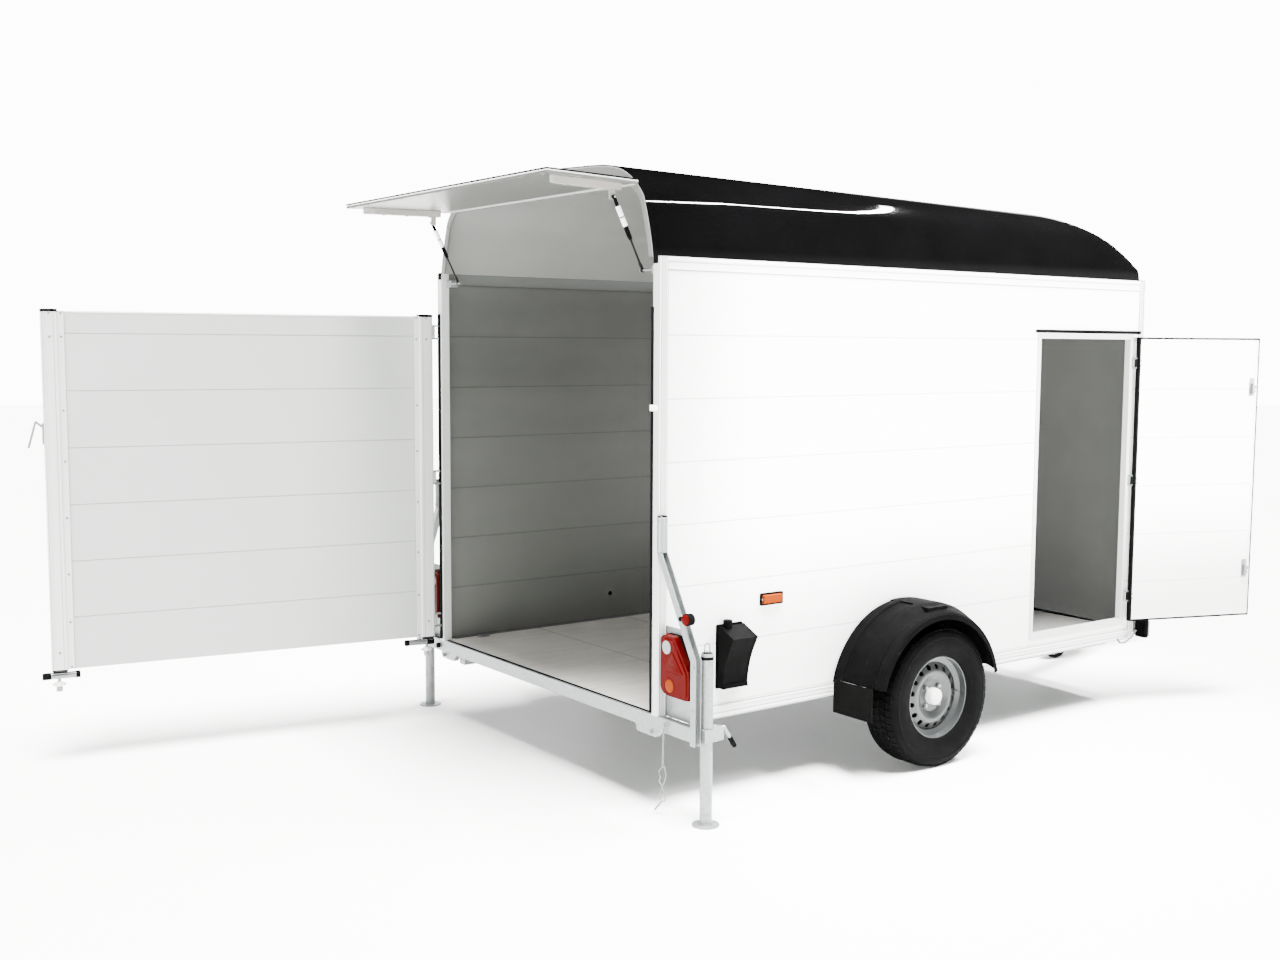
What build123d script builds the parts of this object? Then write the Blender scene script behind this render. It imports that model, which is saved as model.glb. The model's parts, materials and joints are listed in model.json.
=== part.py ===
"""Enclosed single-axle cargo trailer with a three-way rear end.

Axes: +X forward to the coupling, +Y to the left, +Z up.  The origin lies on the
ground, on the centre line, under the wheel axle.  All sizes are in millimetres.
The doors and the hatch are modelled open and the trailer stands on its wheels,
its jockey wheel and its two prop stands.
"""
import os
from math import atan2, cos, degrees, hypot, pi, radians, sin, tan

from build123d import *

# ---------------------------------------------------------------- driving sizes
# Body box
body_length = 3050          # rear face to the front posts
axle_to_rear = 1360         # axle line to the rear face
body_width = 1770           # over the side panels
panel_thickness = 25        # hollow aluminium planks
body_bottom = 332           # lower edge of the bottom rails
wall_height = 1819          # bottom rail to top rail, over both
rail_height = 50
rail_proud = 2              # rails stand this far outside the panels
post_size = 40
floor_top = 380
floor_thickness = 18
plank_pitch = 244
seam_width = 2
seam_depth = 1.2

# Roof, nose and gable
roof_rise = 394             # crown above the wall top, at the rear
roof_half = 848             # half width at the foot of the roof
roof_skin = 4
lining = 6
seat_gap = 0.3              # between curved faces that lie on each other
nose_bulge = 80             # plan bulge of the front panel
gable_flange = 30
gable_thickness = 8
gable_sill_rise = 274       # lower edge of the fixed gable panel above the wall top

# Running gear
tyre_radius = 306
tyre_width = 185
wheel_track = 2060          # tyre centre to tyre centre
rim_seat_radius = 178
rim_flange_radius = 195
rim_width = 140
hub_face = 22               # wheel mounting face outward of the tyre centre
hand_holes = 16
hand_hole_circle = 129
hand_hole_radius = 12
wheel_bolts = 4
bolt_circle = 56            # radius
axle_beam_size = 70
beam_x = 140
beam_z = 247
spindle_radius = 20

# Mudguards
guard_radius = 412
guard_centre_x = -30
guard_ridge = 7             # ridges stand this far above the rear half
guard_step = 98             # the ridges end at this angle
guard_wall = 4
flap_height = 143
flap_thickness = 5
guard_start = 166           # degrees above the forward horizontal, rear end
guard_end = 12.5

# Rear end
sill_depth = 30
sill_height = 55
light_guard_width = 28
light_guard_depth = 30
light_guard_wall = 3
light_guard_outer_y = 1130
lamp_depth = 48
lamp_plate = 3
light_guard_top = 1168
side_lamp_x = -838          # rear end of the side lamps
side_lamp_z = 787.5
stand_radius = 24
stand_foot_radius = 53
stand_top = 665

# Rear door
rear_door_width = 1720
rear_door_lift = 30         # lower edge above the floor
rear_door_head = 201        # upper edge below the wall top
rear_door_angle = 171       # direction of the open door, from forward
rear_door_post = 65
rear_door_post_depth = 44
rear_door_flange = 28
rear_gap = 8                # door to corner posts when shut
rear_hinge_offset = 12      # hinge line to the door's edge
rear_hinge_inset = 75       # outer hinges from the door's ends
hinge_pin_radius = 4

# Hatch
hatch_length = 464
hatch_thickness = 18
hatch_hinge_half = 765
hatch_free_half = 850
hatch_axis_x = -1372
hatch_axis_rise = 283       # hinge line above the wall top
hatch_below_axis = 6
hatch_bracket = 25

# Gas struts
strut_y = 735
strut_arm = (-94, -58)      # x, z of the pin on the hatch, from the hatch hinge
strut_foot_x = -1330
strut_foot_drop = 47        # pin on the body below the wall top
strut_tube_radius = 9
strut_eye_radius = 8
strut_pin_radius = 4
strut_rod_radius = 4
strut_tube_length = 165

# Side door
side_door_setback = 106     # clear opening to the front posts
side_clear_width = 694
side_step = 64              # clear opening above the floor
side_head = 291             # clear opening below the wall top
side_frame = 24
side_door_angle = -20       # direction of the open door, from forward
side_door_thickness = 25
side_latch_inset = 250
side_door_lap = 11          # cover of the frame on each side
side_door_gap = 6
side_hinge_offset = 10
side_hinge_inset = 118      # outer hinges from the ends of the opening
side_pin_radius = 3

# Drawbar and coupling
drawbar_height = 80
drawbar_width = 50
drawbar_bottom = 252
drawbar_rear = (230, 640)   # centre line at the chassis, x and y
drawbar_front = (760, 75)   # centre line at its front end, x ahead of the front posts, and y
coupling_z = 397
ball_reach = 1370           # ball socket ahead of the front posts
ball_radius = 25.2
jockey_reach = 575          # jockey tube ahead of the front posts
jockey_trail = 35
jockey_radius = 100
jockey_tube_radius = 30
jockey_leg_radius = 24

# ---------------------------------------------------------------- worked out
rear_x = -axle_to_rear
front_x = rear_x + body_length
half_width = body_width / 2
inner_half = half_width - panel_thickness
wall_top = body_bottom + wall_height
sides = ((1, "left"), (-1, "right"))
crossmember_z = (332, floor_top - floor_thickness)
sill_x = (rear_x + 4, rear_x + 4 + sill_depth)
crossmember_x = (rear_x + 130, rear_x + 740, beam_x, front_x - 990, front_x - 440, front_x - 70)
gable_sill = wall_top + gable_sill_rise
hatch_axis_z = wall_top + hatch_axis_rise
strut_top = (hatch_axis_x + strut_arm[0], hatch_axis_z + strut_arm[1])
strut_foot = (strut_foot_x, wall_top - strut_foot_drop)
side_opening = ((front_x - side_door_setback - side_clear_width, front_x - side_door_setback),
                (floor_top + side_step, wall_top - side_head))
side_hinge_heights = (side_opening[1][0] + side_hinge_inset, sum(side_opening[1]) / 2,
                      side_opening[1][1] - side_hinge_inset)
rear_door_low, rear_door_high = floor_top + rear_door_lift, wall_top - rear_door_head
rear_hinge_heights = (rear_door_low + rear_hinge_inset, (rear_door_low + rear_door_high) / 2,
                      rear_door_high - rear_hinge_inset)
ball_x = front_x + ball_reach
jockey_x = front_x + jockey_reach
guard_x = (rear_x - 6, rear_x - 6 + light_guard_depth)

os.makedirs("parts", exist_ok=True)


def write(name, label):
    """Label a finished piece and write it as one STEP file."""
    name.part.label = label
    export_step(name.part, f"parts/{label}.step")


def block(x, y, z, mode=Mode.ADD):
    """A box between two limits on each axis, in the builder's own frame."""
    centre = ((x[0] + x[1]) / 2, (y[0] + y[1]) / 2, (z[0] + z[1]) / 2)
    with Locations(centre):
        Box(abs(x[1] - x[0]), abs(y[1] - y[0]), abs(z[1] - z[0]), mode=mode)


def rod(start, end, radius, mode=Mode.ADD):
    """A round bar between two points."""
    run = Vector(*end) - Vector(*start)
    with BuildSketch(Plane(origin=start, z_dir=run)) as section:
        Circle(radius)
    extrude(section.sketch, amount=run.length, mode=mode)


def span(a, b):
    """The two values in rising order, so that mirrored sides read alike."""
    return (min(a, b), max(a, b))


# ---------------------------------------------------------------- body panels
def plank_seams(low, high):
    """Heights of the joints between planks, inside a panel's height."""
    first = wall_top - 296
    seams = [first - i * plank_pitch for i in range(8)]
    return [z for z in seams if low + 20 < z < high - 20]


def make_side_walls():
    low, high = body_bottom + rail_height, wall_top - rail_height
    for side, word in sides:
        with BuildPart() as side_wall:
            block((rear_x + post_size, front_x - post_size),
                  span(side * inner_half, side * half_width), (low, high))
            for face in (inner_half, half_width):
                for z in plank_seams(low, high):
                    y = span(side * (face - seam_depth), side * (face + seam_depth))
                    block((rear_x, front_x), y, (z - seam_width / 2, z + seam_width / 2),
                          mode=Mode.SUBTRACT)
            if side < 0:
                (x0, x1), (z0, z1) = side_opening
                block((x0 - side_frame, x1 + side_frame), (-1000, -800),
                      (z0 - side_frame, z1 + side_frame), mode=Mode.SUBTRACT)
        write(side_wall, f"side_wall_{word}")


def make_rails_and_posts():
    rail_y = (inner_half - rail_proud, half_width + rail_proud)
    with BuildPart() as wall_rails:
        for side, _ in sides:
            y = span(side * rail_y[0], side * rail_y[1])
            block((sill_x[1] + post_size, front_x), y, (body_bottom, body_bottom + rail_height))
            block((rear_x + post_size, front_x - post_size), y, (wall_top - rail_height, wall_top))
    write(wall_rails, "wall_rails")

    with BuildPart() as corner_posts:
        for side, _ in sides:
            y = span(side * (half_width + rail_proud - post_size), side * (half_width + rail_proud))
            block((rear_x, rear_x + post_size), y, (floor_top, wall_top))
            block((front_x - post_size, front_x), y, (body_bottom + rail_height, wall_top))
    write(corner_posts, "corner_posts")


def make_floor():
    with BuildPart() as floor_board:
        block((sill_x[1], front_x), (-inner_half + rail_proud, inner_half - rail_proud),
              (floor_top - floor_thickness, floor_top))
        for side, _ in sides:
            corner = half_width + rail_proud - post_size
            block((rear_x, rear_x + post_size), span(side * corner, side * half_width),
                  (0, floor_top + 1), mode=Mode.SUBTRACT)
            block((front_x - post_size, front_x), span(side * corner, side * half_width),
                  (0, floor_top + 1), mode=Mode.SUBTRACT)
    write(floor_board, "floor_board")


def roof_form(inset, reach=0):
    """Solid inside the roof and nose, drawn in from the outer face by inset.

    It starts at the rear face and the wall top, or runs past both by reach.
    """
    half, rise = roof_half - inset, roof_rise - inset
    shoulder_low, shoulder_high = (half - 52, 0.58 * roof_rise - inset / 2), (half - 165, 0.885 * roof_rise - inset)
    skirt = 60
    with BuildPart(mode=Mode.PRIVATE) as form:
        with BuildSketch(Plane.YZ.offset(rear_x - 50)):
            for sign in (1, -1):
                def at(y, z):
                    return (sign * y, wall_top + z)
                with BuildLine():
                    ThreePointArc(at(half, 0), at(half - 14, 0.26 * roof_rise), at(*shoulder_low))
                    ThreePointArc(at(*shoulder_low), at(half - 96, 0.78 * roof_rise - inset / 2), at(*shoulder_high))
                    ThreePointArc(at(*shoulder_high), at(half / 2 - 40, rise - 9), at(0, rise))
                    Polyline(at(0, rise), at(0, -skirt), at(half, -skirt), at(half, 0))
                make_face()
        extrude(amount=body_length + nose_bulge + 100)
        with BuildSketch(Plane.XZ.offset(-body_width)):
            with BuildLine():
                front = front_x + nose_bulge - inset
                top = wall_top + rise
                ThreePointArc((rear_x - 100, top + 3), (front_x - 1850, top - 14), (front_x - 950, top - 42))
                ThreePointArc((front_x - 950, top - 42), (front_x - 290, top - 150), (front, wall_top))
                Polyline((front, wall_top), (front, wall_top - skirt), (rear_x - 100, wall_top - skirt),
                         (rear_x - 100, top + 3))
            make_face()
        extrude(amount=2 * body_width, mode=Mode.INTERSECT)
        with BuildSketch(Plane.XY.offset(wall_top - skirt)):
            add(plan_outline(inset))
        extrude(amount=rise + skirt + 50, mode=Mode.INTERSECT)
        block((rear_x - reach, front_x + 2 * nose_bulge), (-body_width, body_width),
              (wall_top - reach, wall_top + 2 * roof_rise), mode=Mode.INTERSECT)
    return form.part


def plan_outline(inset):
    """Plan of the body from behind the rear face to the bulged nose."""
    y = half_width + rail_proud - inset
    x = front_x + 2 - inset
    with BuildSketch() as outline:
        with BuildLine():
            nose = ThreePointArc((x, -y), (front_x + nose_bulge - inset, 0), (x, y))
            Line(nose @ 1, (rear_x - 100, y))
            Line((rear_x - 100, y), (rear_x - 100, -y))
            Line((rear_x - 100, -y), nose @ 0)
        make_face()
    return outline.sketch


def make_roof():
    outer, inner = roof_form(0), roof_form(roof_skin, 20)
    with BuildPart() as roof_skin_part:
        add(outer)
        add(inner, mode=Mode.SUBTRACT)
    write(roof_skin_part, "roof_shell")
    lining_face = roof_form(roof_skin + seat_gap)
    hollow = roof_form(roof_skin + lining, 20)
    with BuildPart() as roof_lining:
        add(lining_face)
        add(hollow, mode=Mode.SUBTRACT)
        with BuildSketch(Plane.XY.offset(floor_top + seat_gap)):
            add(plan_outline(roof_skin + seat_gap))
            add(plan_outline(roof_skin + lining), mode=Mode.SUBTRACT)
            with Locations((rear_x, 0)):
                Rectangle(body_length, 2 * body_width, align=(Align.MIN, Align.CENTER), mode=Mode.SUBTRACT)
            with Locations((rear_x, 0)):
                Rectangle(400, 2 * body_width, align=(Align.MAX, Align.CENTER), mode=Mode.SUBTRACT)
        extrude(amount=wall_top - floor_top - 2 * seat_gap)
    write(roof_lining, "roof_lining")

    rim_face = roof_form(roof_skin + lining + seat_gap)
    opening = roof_form(roof_skin + lining + gable_flange, 20)
    with BuildPart() as rear_gable:
        add(rim_face)
        block((rear_x, rear_x + gable_thickness), (-body_width, body_width),
              (wall_top, wall_top + 2 * roof_rise), mode=Mode.INTERSECT)
        with BuildPart(mode=Mode.PRIVATE) as hole:
            add(opening)
            block((rear_x - 10, rear_x + 50), (-body_width, body_width), (wall_top - 10, gable_sill),
                  mode=Mode.INTERSECT)
        add(hole.part, mode=Mode.SUBTRACT)
    write(rear_gable, "rear_gable")


def make_front_panel():
    with BuildPart() as front_panel:
        with BuildSketch(Plane.XY.offset(body_bottom)):
            add(plan_outline(0))
            add(plan_outline(roof_skin), mode=Mode.SUBTRACT)
        extrude(amount=wall_top - body_bottom)
        block((rear_x - 200, front_x), (-body_width, body_width), (0, 3000), mode=Mode.SUBTRACT)
    write(front_panel, "front_panel")


def make_side_door_frame():
    (x0, x1), (z0, z1) = side_opening
    y = (-half_width - 3, -inner_half + 3)
    with BuildPart() as frame:
        block((x0 - side_frame, x1 + side_frame), y, (z0 - side_frame, z1 + side_frame))
        block((x0, x1), (-1000, -800), (z0, z1), mode=Mode.SUBTRACT)
    write(frame, "side_door_frame")

    gutter_z = z1 + side_frame + 2
    with BuildPart() as rain_gutter:
        block((x0 - 41, x1 + 63), (-half_width - 18, -half_width), (gutter_z, gutter_z + 3))
        block((x0 - 41, x1 + 63), (-half_width - 18, -half_width - 15), (gutter_z, gutter_z + 16))
        block((x0 - 41, x1 + 63), (-half_width - 3, -half_width), (gutter_z, gutter_z + 16))
    write(rain_gutter, "rain_gutter")


# ---------------------------------------------------------------- chassis
def make_chassis():
    with BuildPart() as chassis_rails:
        for side, _ in sides:
            block((sill_x[1], front_x - 40), span(side * 705, side * 755),
                  (crossmember_z[0] - 50, crossmember_z[0]))
    write(chassis_rails, "chassis_rails")

    with BuildPart() as crossmembers:
        for x in crossmember_x:
            block((x - 30, x + 30), (-inner_half + rail_proud, inner_half - rail_proud), crossmember_z)
    write(crossmembers, "crossmembers")

    with BuildPart() as rear_sill:
        y = light_guard_outer_y - light_guard_width
        block(sill_x, (-y, y), (floor_top - sill_height, floor_top))
        block((sill_x[0] + 3, sill_x[1] + 1), (-y - 1, y + 1), (floor_top - sill_height + 3, floor_top - 3),
              mode=Mode.SUBTRACT)
        for side, _ in sides:
            with BuildSketch(Plane.YZ.offset(sill_x[0])):
                with BuildLine():
                    low = floor_top - sill_height
                    Polyline((side * 735, low + 2), (side * 760, low - 30), (side * 868, low - 30),
                             (side * 882, low - 12), (side * 882, low + 2), close=True)
                make_face()
            extrude(amount=sill_depth - 4)
            rod((sill_x[0] - 14, side * 846, low - 12), (sill_x[0] + 1, side * 846, low - 12), 8)
    write(rear_sill, "rear_sill")

    with BuildPart() as drawbar:
        for side, _ in sides:
            start = Vector(drawbar_rear[0], side * drawbar_rear[1])
            run = Vector(front_x + drawbar_front[0], side * drawbar_front[1]) - start
            along = Plane(origin=(start.X, start.Y, drawbar_bottom), x_dir=run, z_dir=(0, 0, 1))
            with BuildSketch(along):
                Rectangle(run.length, drawbar_width, align=(Align.MIN, Align.CENTER))
            extrude(amount=drawbar_height)
    write(drawbar, "drawbar")


def make_running_gear():
    with BuildPart() as axle_beam:
        half = axle_beam_size / 2
        block((beam_x - half, beam_x + half), (-776, 776), (beam_z - half, beam_z + half))
    write(axle_beam, "axle_beam")

    with BuildPart() as swing_arms:
        for side, _ in sides:
            with BuildSketch(Plane.XZ.offset(-side * 776)):
                with Locations((beam_x, beam_z)):
                    Circle(36)
                with Locations((0, tyre_radius)):
                    Circle(32)
                reach = hypot(beam_x, tyre_radius - beam_z)
                tilt = degrees(atan2(tyre_radius - beam_z, -beam_x))
                with Locations(Location((beam_x / 2, (beam_z + tyre_radius) / 2), tilt)):
                    Rectangle(reach, 50)
            extrude(amount=-side * 46)
            rod((0, side * 822, tyre_radius), (0, side * 1045, tyre_radius), spindle_radius)
    write(swing_arms, "swing_arms")

    for side, word in sides:
        centre = side * wheel_track / 2
        axis = Axis((0, 0, tyre_radius), (0, 1, 0))

        def at(y, r):
            """Sketch point at an offset outward from the tyre centre and a radius."""
            return (centre + side * y, tyre_radius + r)

        half = tyre_width / 2
        with BuildPart() as tyre:
            with BuildSketch(Plane.YZ):
                with BuildLine():
                    bead, tread = rim_seat_radius + seat_gap, tyre_radius
                    Polyline(at(-66, bead), at(66, bead), at(66.8, bead + 9), at(70, bead + 22))
                    ThreePointArc(at(70, bead + 22), at(half, bead + 62), at(half - 14, tread - 16))
                    ThreePointArc(at(half - 14, tread - 16), at(half - 19, tread - 7), at(half - 29, tread - 3))
                    ThreePointArc(at(half - 29, tread - 3), at(0, tread), at(-half + 29, tread - 3))
                    ThreePointArc(at(-half + 29, tread - 3), at(-half + 19, tread - 7), at(-half + 14, tread - 16))
                    ThreePointArc(at(-half + 14, tread - 16), at(-half, bead + 62), at(-70, bead + 22))
                    Polyline(at(-70, bead + 22), at(-66.8, bead + 9), at(-66, bead))
                make_face()
            revolve(axis=axis)
        write(tyre, f"tyre_{word}")

        with BuildPart() as rim:
            with BuildSketch(Plane.YZ):
                with BuildLine():
                    seat, drop = rim_seat_radius, rim_seat_radius - 24
                    flange = rim_flange_radius
                    Polyline(at(74, flange), at(71, flange), at(67.5, seat + 9), at(66.6, seat), at(38, seat - 2),
                             at(28, drop), at(-12, drop), at(-30, seat - 2), at(-66.6, seat), at(-67.5, seat + 9),
                             at(-71, flange), at(-74, flange), at(-71.5, seat + 6), at(-69, seat - 4),
                             at(-32, seat - 6), at(-14, drop - 4), at(30, drop - 4), at(40, seat - 6),
                             at(69, seat - 4), at(71.5, seat + 6), close=True)
                make_face()
            revolve(axis=axis)
            with BuildSketch(Plane.YZ):
                with BuildLine():
                    Polyline(at(22, drop - 4), at(14, drop - 4), at(14, drop - 10), at(34, drop - 36))
                    ThreePointArc(at(34, drop - 36), at(37, drop - 52), at(33, drop - 66))
                    Polyline(at(33, drop - 66), at(hub_face, 66), at(hub_face, 32), at(hub_face + 6, 32),
                             at(hub_face + 6, 68), at(38, drop - 65))
                    ThreePointArc(at(38, drop - 65), at(43, drop - 51), at(39, drop - 34))
                    Line(at(39, drop - 34), at(22, drop - 4))
                make_face()
            revolve(axis=axis)
            for i in range(hand_holes):
                turn = 2 * pi * (i + 0.5) / hand_holes
                spot = (hand_hole_circle * cos(turn), tyre_radius + hand_hole_circle * sin(turn))
                rod((spot[0], centre - side * 5, spot[1]), (spot[0], centre + side * 60, spot[1]),
                    hand_hole_radius, mode=Mode.SUBTRACT)
            for i in range(wheel_bolts):
                turn = 2 * pi * (i + 0.5) / wheel_bolts
                spot = (bolt_circle * cos(turn), tyre_radius + bolt_circle * sin(turn))
                face = centre + side * (hub_face + 5.9)
                with BuildSketch(Plane(origin=(spot[0], face, spot[1]), z_dir=(0, side, 0))) as boss:
                    Circle(13)
                extrude(boss.sketch, amount=6, taper=25)
        write(rim, f"rim_{word}")

        with BuildPart() as hub:
            with BuildSketch(Plane.YZ):
                with BuildLine():
                    Polyline(at(hub_face, spindle_radius + 0.3), at(hub_face, 66), at(10, 84), at(10, 112),
                             at(-54, 112), at(-54, 118), at(-62, 118), at(-62, spindle_radius + 0.3), close=True)
                make_face()
            revolve(axis=axis)
            with BuildSketch(Plane.YZ):
                with BuildLine():
                    Line(at(hub_face, 0), at(hub_face, 31.7))
                    Line(at(hub_face, 31.7), at(52, 31.7))
                    ThreePointArc(at(52, 31.7), at(59, 29), at(62, 22))
                    Line(at(62, 22), at(64, 0))
                    Line(at(64, 0), at(hub_face, 0))
                make_face()
            revolve(axis=axis)
        write(hub, f"brake_drum_{word}")


def guard_profile(side, ridge):
    """Centre line of the mudguard's section, as (y, radius) from the wall to the lip."""
    r = guard_radius
    y = wheel_track / 2
    line = [(half_width + 2 * seat_gap, r - 6 - ridge), (y - 118, r - ridge), (y - 112, r), (y - 82, r + ridge / 4),
            (y - 76, r - ridge), (y - 6, r - ridge), (y, r), (y + 28, r - 2), (y + 46, r - 9 - ridge / 2),
            (y + 74, r - 22 - ridge), (y + 82, r - 24), (y + 104, r - 34), (y + 112, r - 42), (y + 116, r - 62)]
    return [(side * a, b) for a, b in line]


def make_mudguards():
    axis = Axis((guard_centre_x, 0, tyre_radius), (0, 1, 0))

    def radial(angle):
        turn = radians(angle)
        return Plane(origin=(guard_centre_x, 0, tyre_radius), x_dir=(0, 1, 0), z_dir=(sin(turn), 0, -cos(turn)))

    with BuildPart() as mudguards:
        for side, _ in sides:
            for start, end, ridge in ((guard_start, guard_step, guard_ridge), (guard_step, guard_end, 0)):
                with BuildSketch(radial(start)):
                    with BuildLine() as line:
                        Polyline(*guard_profile(side, ridge))
                    trace(line.line.edges(), line_width=guard_wall)
                revolve(axis=axis, revolution_arc=start - end)
            rail = (half_width, half_width + rail_proud + seat_gap)
            block((rear_x, front_x), span(side * rail[0], side * rail[1]), (0, body_bottom + rail_height + 1),
                  mode=Mode.SUBTRACT)
            pad_y = wheel_track / 2 + 62
            with Locations(Location((guard_centre_x, side * pad_y, tyre_radius + guard_radius - 16))):
                Box(120, 44, 12)
    write(mudguards, "mudguards")

    end = radians(guard_start)
    flap_x = guard_centre_x + (guard_radius - 4) * cos(end)
    flap_top = tyre_radius + (guard_radius + 4) * sin(end)
    with BuildPart() as mud_flaps:
        for side, _ in sides:
            y = span(side * (half_width + 15), side * (wheel_track / 2 + 98))
            block((flap_x - flap_thickness - 2, flap_x - 2), y, (flap_top - flap_height, flap_top - 2))
    write(mud_flaps, "mud_flaps")


# ---------------------------------------------------------------- rear end
def make_light_guards():
    def guard_line(side, shift):
        top_y = half_width + rail_proud + seat_gap + light_guard_width / 2 + shift
        low_y = light_guard_outer_y - light_guard_width / 2 + shift
        return [(side * top_y, light_guard_top), (side * top_y, 1024), (side * low_y, 640),
                (side * low_y, floor_top - sill_height - 10)]

    inner_y = half_width + rail_proud + seat_gap
    outer_y = light_guard_outer_y - light_guard_width
    plate_x = guard_x[0] + lamp_depth
    with BuildPart() as light_guards:
        for side, _ in sides:
            with BuildSketch(Plane.YZ.offset(guard_x[0])):
                with BuildLine() as line:
                    Polyline(*guard_line(side, 0))
                trace(line.line.edges(), line_width=light_guard_width)
            extrude(amount=light_guard_depth)
            with BuildSketch(Plane.YZ.offset(guard_x[0] + light_guard_wall)):
                with BuildLine() as line:
                    Polyline(*guard_line(side, light_guard_wall))
                trace(line.line.edges(), line_width=light_guard_width)
            extrude(amount=light_guard_depth - 2 * light_guard_wall, mode=Mode.SUBTRACT)
        for side, _ in sides:
            with BuildSketch(Plane.YZ.offset(plate_x)):
                with BuildLine():
                    edge_y = outer_y - 16
                    Polyline((side * inner_y, floor_top), (side * edge_y, floor_top),
                             (side * edge_y, 630), (side * 1040, 735), (side * inner_y, 735), close=True)
                make_face()
            extrude(amount=lamp_plate)
            block((guard_x[1] - 8, plate_x + lamp_plate), span(side * (edge_y - 3), side * edge_y),
                  (floor_top, 466))
            block((guard_x[1] - 8, guard_x[1] - 5), span(side * (edge_y - 3), side * (outer_y + 0.5)),
                  (floor_top, 466))
            block((rear_x + post_size + 1, plate_x + lamp_plate), span(side * inner_y, side * (inner_y + 3)),
                  (floor_top, 735))
    write(light_guards, "light_guards")

    with BuildPart() as tail_lamps:
        for side, _ in sides:
            with BuildSketch(Plane.YZ.offset(plate_x)) as outline:
                with BuildLine():
                    Polyline((side * 902, 502), (side * 902, 700), (side * 914, 712), (side * 990, 712),
                             (side * 1084, 585), (side * 1086, 488), (side * 1074, 474), (side * 940, 474),
                             (side * 915, 484), close=True)
                make_face()
            extrude(amount=-30)
            with BuildSketch(Plane.YZ.offset(plate_x - 30)):
                add(outline.sketch_local)
            extrude(amount=-(lamp_depth - 30), taper=14)
    write(tail_lamps, "tail_lamps")

    with BuildPart() as marker_lamps:
        for side, _ in sides:
            rod((guard_x[0] - 8, side * 1040, 790), (guard_x[0] - 8, side * 1075, 794), 8)
            rod((guard_x[0] - 24, side * 1090, 796), (guard_x[0] + 20, side * 1090, 796), 23)
    write(marker_lamps, "marker_lamps")


def make_side_fittings():
    with BuildPart() as side_lamps:
        for side, _ in sides:
            x, y, z = side_lamp_x, span(side * half_width, side * (half_width + 8)), side_lamp_z
            block((x, x + 114), y, (z - 22.5, z + 22.5))
            with BuildSketch(Plane(origin=(x + 57, side * (half_width + 8), z), x_dir=(1, 0, 0), z_dir=(0, side, 0))):
                RectangleRounded(104, 38, 6)
            extrude(amount=10, taper=20)
    write(side_lamps, "side_lamps")

    with BuildPart() as vent_hood:
        with BuildSketch(Plane.YZ.offset(-1063)):
            with BuildLine():
                wall = -half_width
                Line((wall, 455), (wall, 700))
                Line((wall, 700), (wall - 104, 664))
                ThreePointArc((wall - 104, 664), (wall - 62, 560), (wall - 34, 455))
                Line((wall - 34, 455), (wall, 455))
            make_face()
        extrude(amount=123)
        offset(amount=-4, openings=faces().sort_by(Axis.Z)[0])
        rod((-1002, -half_width - 24, 690), (-1002, -half_width - 24, 738), 23)
    write(vent_hood, "vent_hood")


def make_prop_stands():
    x = guard_x[1] + 14 + stand_radius
    y = light_guard_outer_y - light_guard_width / 2
    for side, word in sides:
        with BuildPart() as prop_stand:
            rod((x, side * y, 6), (x, side * y, stand_top), stand_radius)
            rod((x, side * y, 20), (x, side * y, stand_top + 1), stand_radius - 3, mode=Mode.SUBTRACT)
            rod((x, side * y, 0), (x, side * y, 6), stand_foot_radius)
            rod((x, side * y, stand_top - 14), (x, side * y, stand_top), stand_radius - 2.9)
        write(prop_stand, f"prop_stand_{word}")
    low, high = floor_top - sill_height + 3 + seat_gap, floor_top - 3 - seat_gap
    with BuildPart() as stand_clamps:
        for side, _ in sides:
            block((sill_x[0] + 3 + seat_gap, x + 8), span(side * (y - 66), side * (y - 34)), (low, high))
            block((x - 31, x + 31), span(side * (y - 34), side * (y + 31)), (low, high))
            rod((x, side * y, 300), (x, side * y, 400), stand_radius + 0.8, mode=Mode.SUBTRACT)
            block((x + 31, x + 64), span(side * (y - 26), side * (y + 26)), (low, high))
            block((x + 40, x + 65), span(side * (y - 22), side * (y + 22)), (low + 4, high - 4),
                  mode=Mode.SUBTRACT)
            rod((x + 35, side * y, high - 8), (x + 88, side * y, high - 8), 7)
            rod((x + 84, side * y, high - 5), (x + 138, side * y, high - 90), 7)
    write(stand_clamps, "stand_clamps")


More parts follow.
